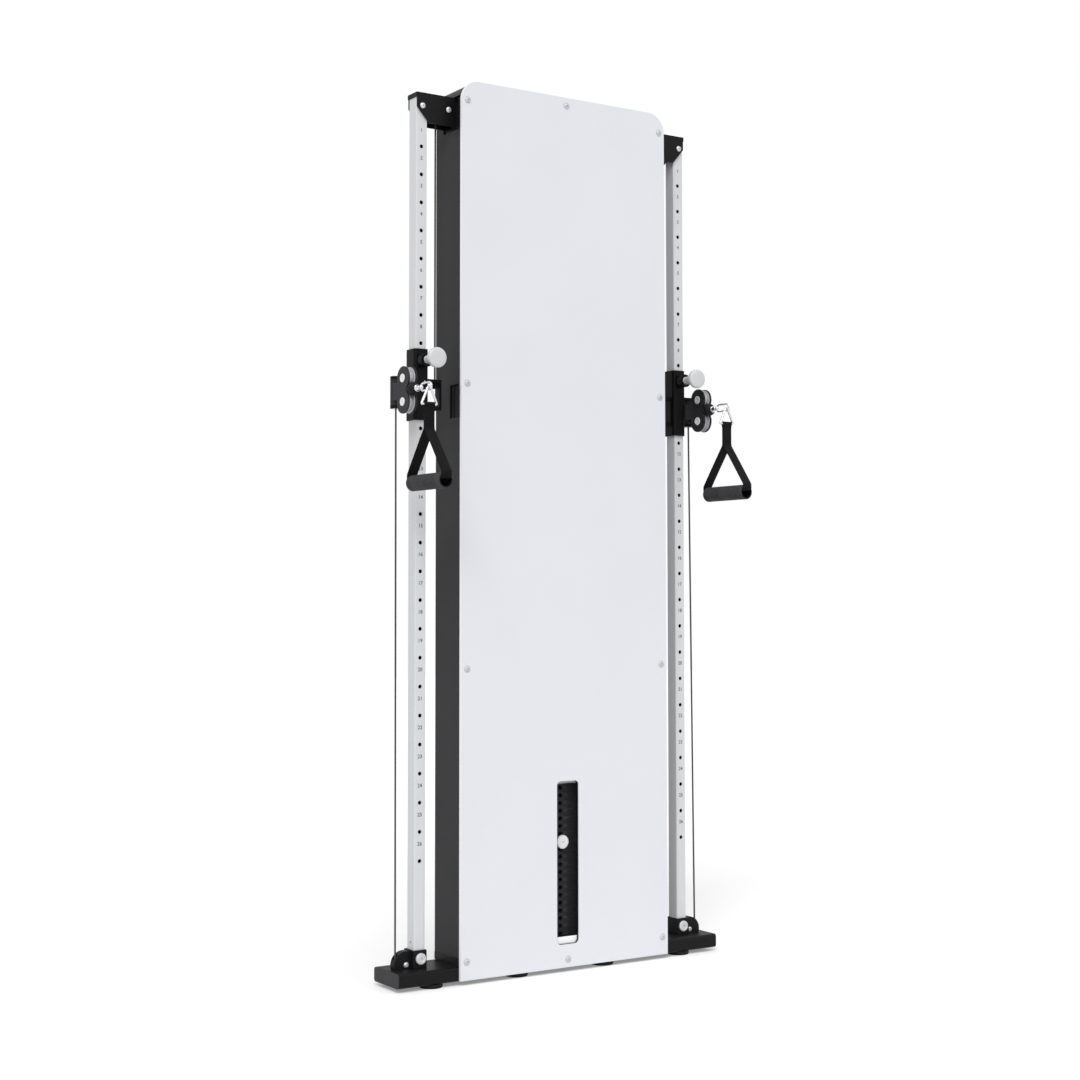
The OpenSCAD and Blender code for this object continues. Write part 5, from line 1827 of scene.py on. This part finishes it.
    def grip(self) -> None:
        """Builds the foam grip over its tube, with a moulded end ring at each end."""
        half = self.grip_len / MM / 2
        radius, bore = self.grip_r, self.bore_r
        end = [
            (radius - 3.0, half), (radius - 1.2, half - 0.3), (radius - 0.3, half - 1.2),
            (radius, half - 3.0), (radius - 0.25, half * 0.6),
        ]
        outer = [(across, -along) for across, along in end] + [(radius - 0.1, 0.0)] + end[::-1]
        at = (self.x, self.handle_y, self.grip_z)
        foam = Bench.lathe(self.side.node("foam_sleeve"), outer, at, Along.FRONT, 64)
        Bench.show(foam, self.finishes.foam, self.stirrup, self.side.node("grip"), angle=50)
        seat = radius - self.sleeve_t
        cap = [
            (bore, half - 9), (seat, half - 9), (seat, half + 0.1), (radius - 2.6, half + 0.5),
            (radius - 2.6, half + 1.2), (radius - 3.2, half + 1.5), (bore + 0.5, half + 1.5),
            (bore, half + 1.0),
        ]
        tube = [(bore, -half + 9), (seat, -half + 9), (seat, half - 9), (bore, half - 9)]
        profiles = ([(across, -along) for across, along in cap], cap, tube)
        made = [Bench.lathe("core", profile, at, Along.FRONT, 56) for profile in profiles]
        rings = Bench.join(made, self.side.node("grip_core"))
        Bench.show(rings, self.finishes.cap, self.stirrup)


@dataclass
class Cables:
    """The cables' fixed turns and the straight runs that lengthen as the machine moves."""

    finishes: Finishes
    radius: float = 2.25 * MM
    plane_y: float = 17.5 * MM
    top_z: float = 2151 * MM
    float_x: float = 273 * MM
    float_z: float = 560 * MM
    wrap_r: float = 25 * MM
    turn_steps: int = 20

    def build(self) -> None:
        """Builds the cables' pieces."""
        Bench.eased("routed_cables", "routed_cable_runs", 0.0, self.finishes.jacket, "stand")
        for side in Side:
            self.lift(side)
            self.straight(side, "upper_cable", "carriage_cable", False)
            self.straight(side, "outer_cable", "riser_cable", True)

    def straight(self, side: Side, stem: str, name: str, from_foot: bool) -> None:
        """Builds a run between the stand and a carriage.

        Args:
            side: the side that it is on.
            stem: the node that it replaces, without its side.
            name: the piece's name, without its side.
            from_foot: whether its fixed end is the lower one.
        """
        node = side.node(stem)
        low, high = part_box(node)
        inner, outer = (low.x, high.x) if side is Side.LEFT else (high.x, low.x)
        start_x, end_x = inner - side.value * self.radius, outer + side.value * self.radius
        if from_foot:
            points = [(start_x, low.y + self.radius, low.z), (end_x, high.y - self.radius, high.z)]
        else:
            points = [(start_x, low.y + self.radius, z) for z in (high.z, low.z)]
        cable = Bench.wire(side.node(name), points, self.radius)
        Bench.pay_out(cable, self.finishes.jacket, ("stand", side.node("carriage_body")), *points, node)

    def lift(self, side: Side) -> None:
        """Builds the run that goes down, round the floating pulley and up again.

        Args:
            side: the side that it is on.
        """
        turns = [math.pi * step / self.turn_steps for step in range(self.turn_steps + 1)]
        line = [
            (self.float_x - self.wrap_r * math.cos(turn), self.float_z - self.wrap_r * math.sin(turn))
            for turn in turns
        ]
        line = [(self.float_x - self.wrap_r, self.top_z), *line, (self.float_x + self.wrap_r, self.top_z)]
        points = [(side.value * x, self.plane_y, z) for x, z in line]
        cable = Bench.wire(side.node("lifting_cable"), points, self.radius)
        start, end = ((side.value * self.float_x, self.plane_y, z) for z in (self.top_z, self.float_z))
        nodes = ["lift_cables"] if side is Side.LEFT else []
        Bench.pay_out(cable, self.finishes.jacket, ("stand", "weight"), start, end, *nodes)


@dataclass
class Studio:
    """The photograph's viewpoint, with a plain pale floor and soft light."""

    camera_at: Point = (-2546.1 * MM, -3843.9 * MM, 934.2 * MM)
    pitch: float = 3.282
    roll: float = -0.059
    yaw: float = -33.011
    lens: float = 60.0
    sensor: float = 36.0
    shift_y: float = -45 / 1080
    floor_size: float = 30.0
    floor_color: Color = (0.86, 0.86, 0.86, 1.0)
    floor_glow: float = 0.24
    ambient: float = 0.54
    sun_power: float = 1.72
    sun_softness: float = 36.0
    sun_azimuth: float = -38.0
    sun_height: float = 46.0
    fill_power: float = 0.25

    def camera(self) -> None:
        """Sets the camera where the photograph was taken from."""
        data = bpy.data.cameras.new("view_camera")
        data.lens = self.lens
        data.sensor_width = self.sensor
        data.shift_y = self.shift_y
        camera = Bench.hold(data, "view_camera")
        camera.location = self.camera_at
        turn = Matrix.Identity(4)
        for angle, axis in ((self.yaw, "Z"), (90 + self.pitch, "X"), (self.roll, "Z")):
            turn = turn @ Matrix.Rotation(math.radians(angle), 4, axis)
        camera.rotation_euler = turn.to_euler()
        bpy.context.scene.camera = camera

    @staticmethod
    def shown(tree: bpy.types.NodeTree) -> Socket:
        """Finds the rays on which the studio shows itself, which are those to the eye, a gloss or a glass.

        Args:
            tree: the node tree that asks.

        Returns:
            The socket that is 1 on those rays and 0 on all others.
        """
        path = tree.nodes.new("ShaderNodeLightPath")
        seen = path.outputs["Is Camera Ray"]
        for name in ("Is Glossy Ray", "Is Transmission Ray"):
            either = tree.nodes.new("ShaderNodeMath")
            either.operation = "MAXIMUM"
            tree.links.new(seen, either.inputs[0])
            tree.links.new(path.outputs[name], either.inputs[1])
            seen = either.outputs[0]
        return seen

    def floor(self) -> None:
        """Lays the pale floor, which shows white but keeps the object's shadow."""
        floor = Bench.start("plane", Matrix.Identity(4), size=self.floor_size)
        floor.name = "studio_floor"
        graph = Graph("studio_floor", Base_Color=self.floor_color, Roughness=0.9, Specular_IOR_Level=0.0)
        nodes, links = graph.tree.nodes, graph.tree.links
        glow = nodes.new("ShaderNodeEmission")
        glow.inputs["Color"].default_value = (*[self.floor_glow] * 3, 1)
        links.new(self.shown(graph.tree), glow.inputs["Strength"])
        both = nodes.new("ShaderNodeAddShader")
        links.new(graph.shader.outputs[0], both.inputs[0])
        links.new(glow.outputs[0], both.inputs[1])
        links.new(both.outputs[0], nodes["Material Output"].inputs["Surface"])
        floor.data.materials.append(graph.material)

    def world(self) -> None:
        """Lights the studio evenly, with a white background for the eye and for reflections."""
        world = bpy.data.worlds.new("studio_world")
        world.use_nodes = True
        nodes, links = world.node_tree.nodes, world.node_tree.links
        blend = nodes.new("ShaderNodeMixShader")
        links.new(self.shown(world.node_tree), blend.inputs[0])
        backgrounds = (nodes["Background"], nodes.new("ShaderNodeBackground"))
        for number, (background, strength) in enumerate(zip(backgrounds, (self.ambient, 1.0)), 1):
            background.inputs["Color"].default_value = (1, 1, 1, 1)
            background.inputs["Strength"].default_value = strength
            links.new(background.outputs[0], blend.inputs[number])
        links.new(blend.outputs[0], nodes["World Output"].inputs["Surface"])
        bpy.context.scene.world = world

    def sun(self, name: str, azimuth: float, power: float) -> None:
        """Hangs a far, wide and soft lamp.

        Args:
            name: the lamp's name.
            azimuth: degrees to the right of the front that it shines from.
            power: its power in watts a square metre.
        """
        data = bpy.data.lights.new(name, "SUN")
        data.energy = power
        data.angle = math.radians(self.sun_softness)
        turn, lift = math.radians(azimuth), math.radians(self.sun_height)
        source = Vector((math.sin(turn) * math.cos(lift), -math.cos(turn) * math.cos(lift), math.sin(lift)))
        Bench.hold(data, name).rotation_euler = source.to_track_quat("Z", "Y").to_euler()

    def build(self) -> None:
        """Sets up the studio."""
        bpy.context.scene.view_settings.view_transform = "Standard"
        self.floor()
        self.world()
        self.sun("key_lamp", self.sun_azimuth, self.sun_power)
        self.sun("fill_lamp", -self.sun_azimuth, self.fill_power)


def main() -> None:
    """Builds the studio and then the machine, sub-assembly by sub-assembly."""
    logging.basicConfig(level=logging.INFO, format="%(message)s")
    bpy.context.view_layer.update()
    studio = Studio()
    studio.camera()
    finishes = Finishes()
    parts = [Tower(finishes), Base(finishes), Columns(finishes), Stack(finishes)]
    for side in Side:
        parts += [Carriage(finishes, side), Handle(finishes, side)]
    parts.append(Cables(finishes))
    for part in parts:
        LOG.info("building %s", type(part).__name__)
        part.build()
    studio.build()
    bpy.ops.object.select_all(action="DESELECT")


if __name__ == "__main__":
    main()
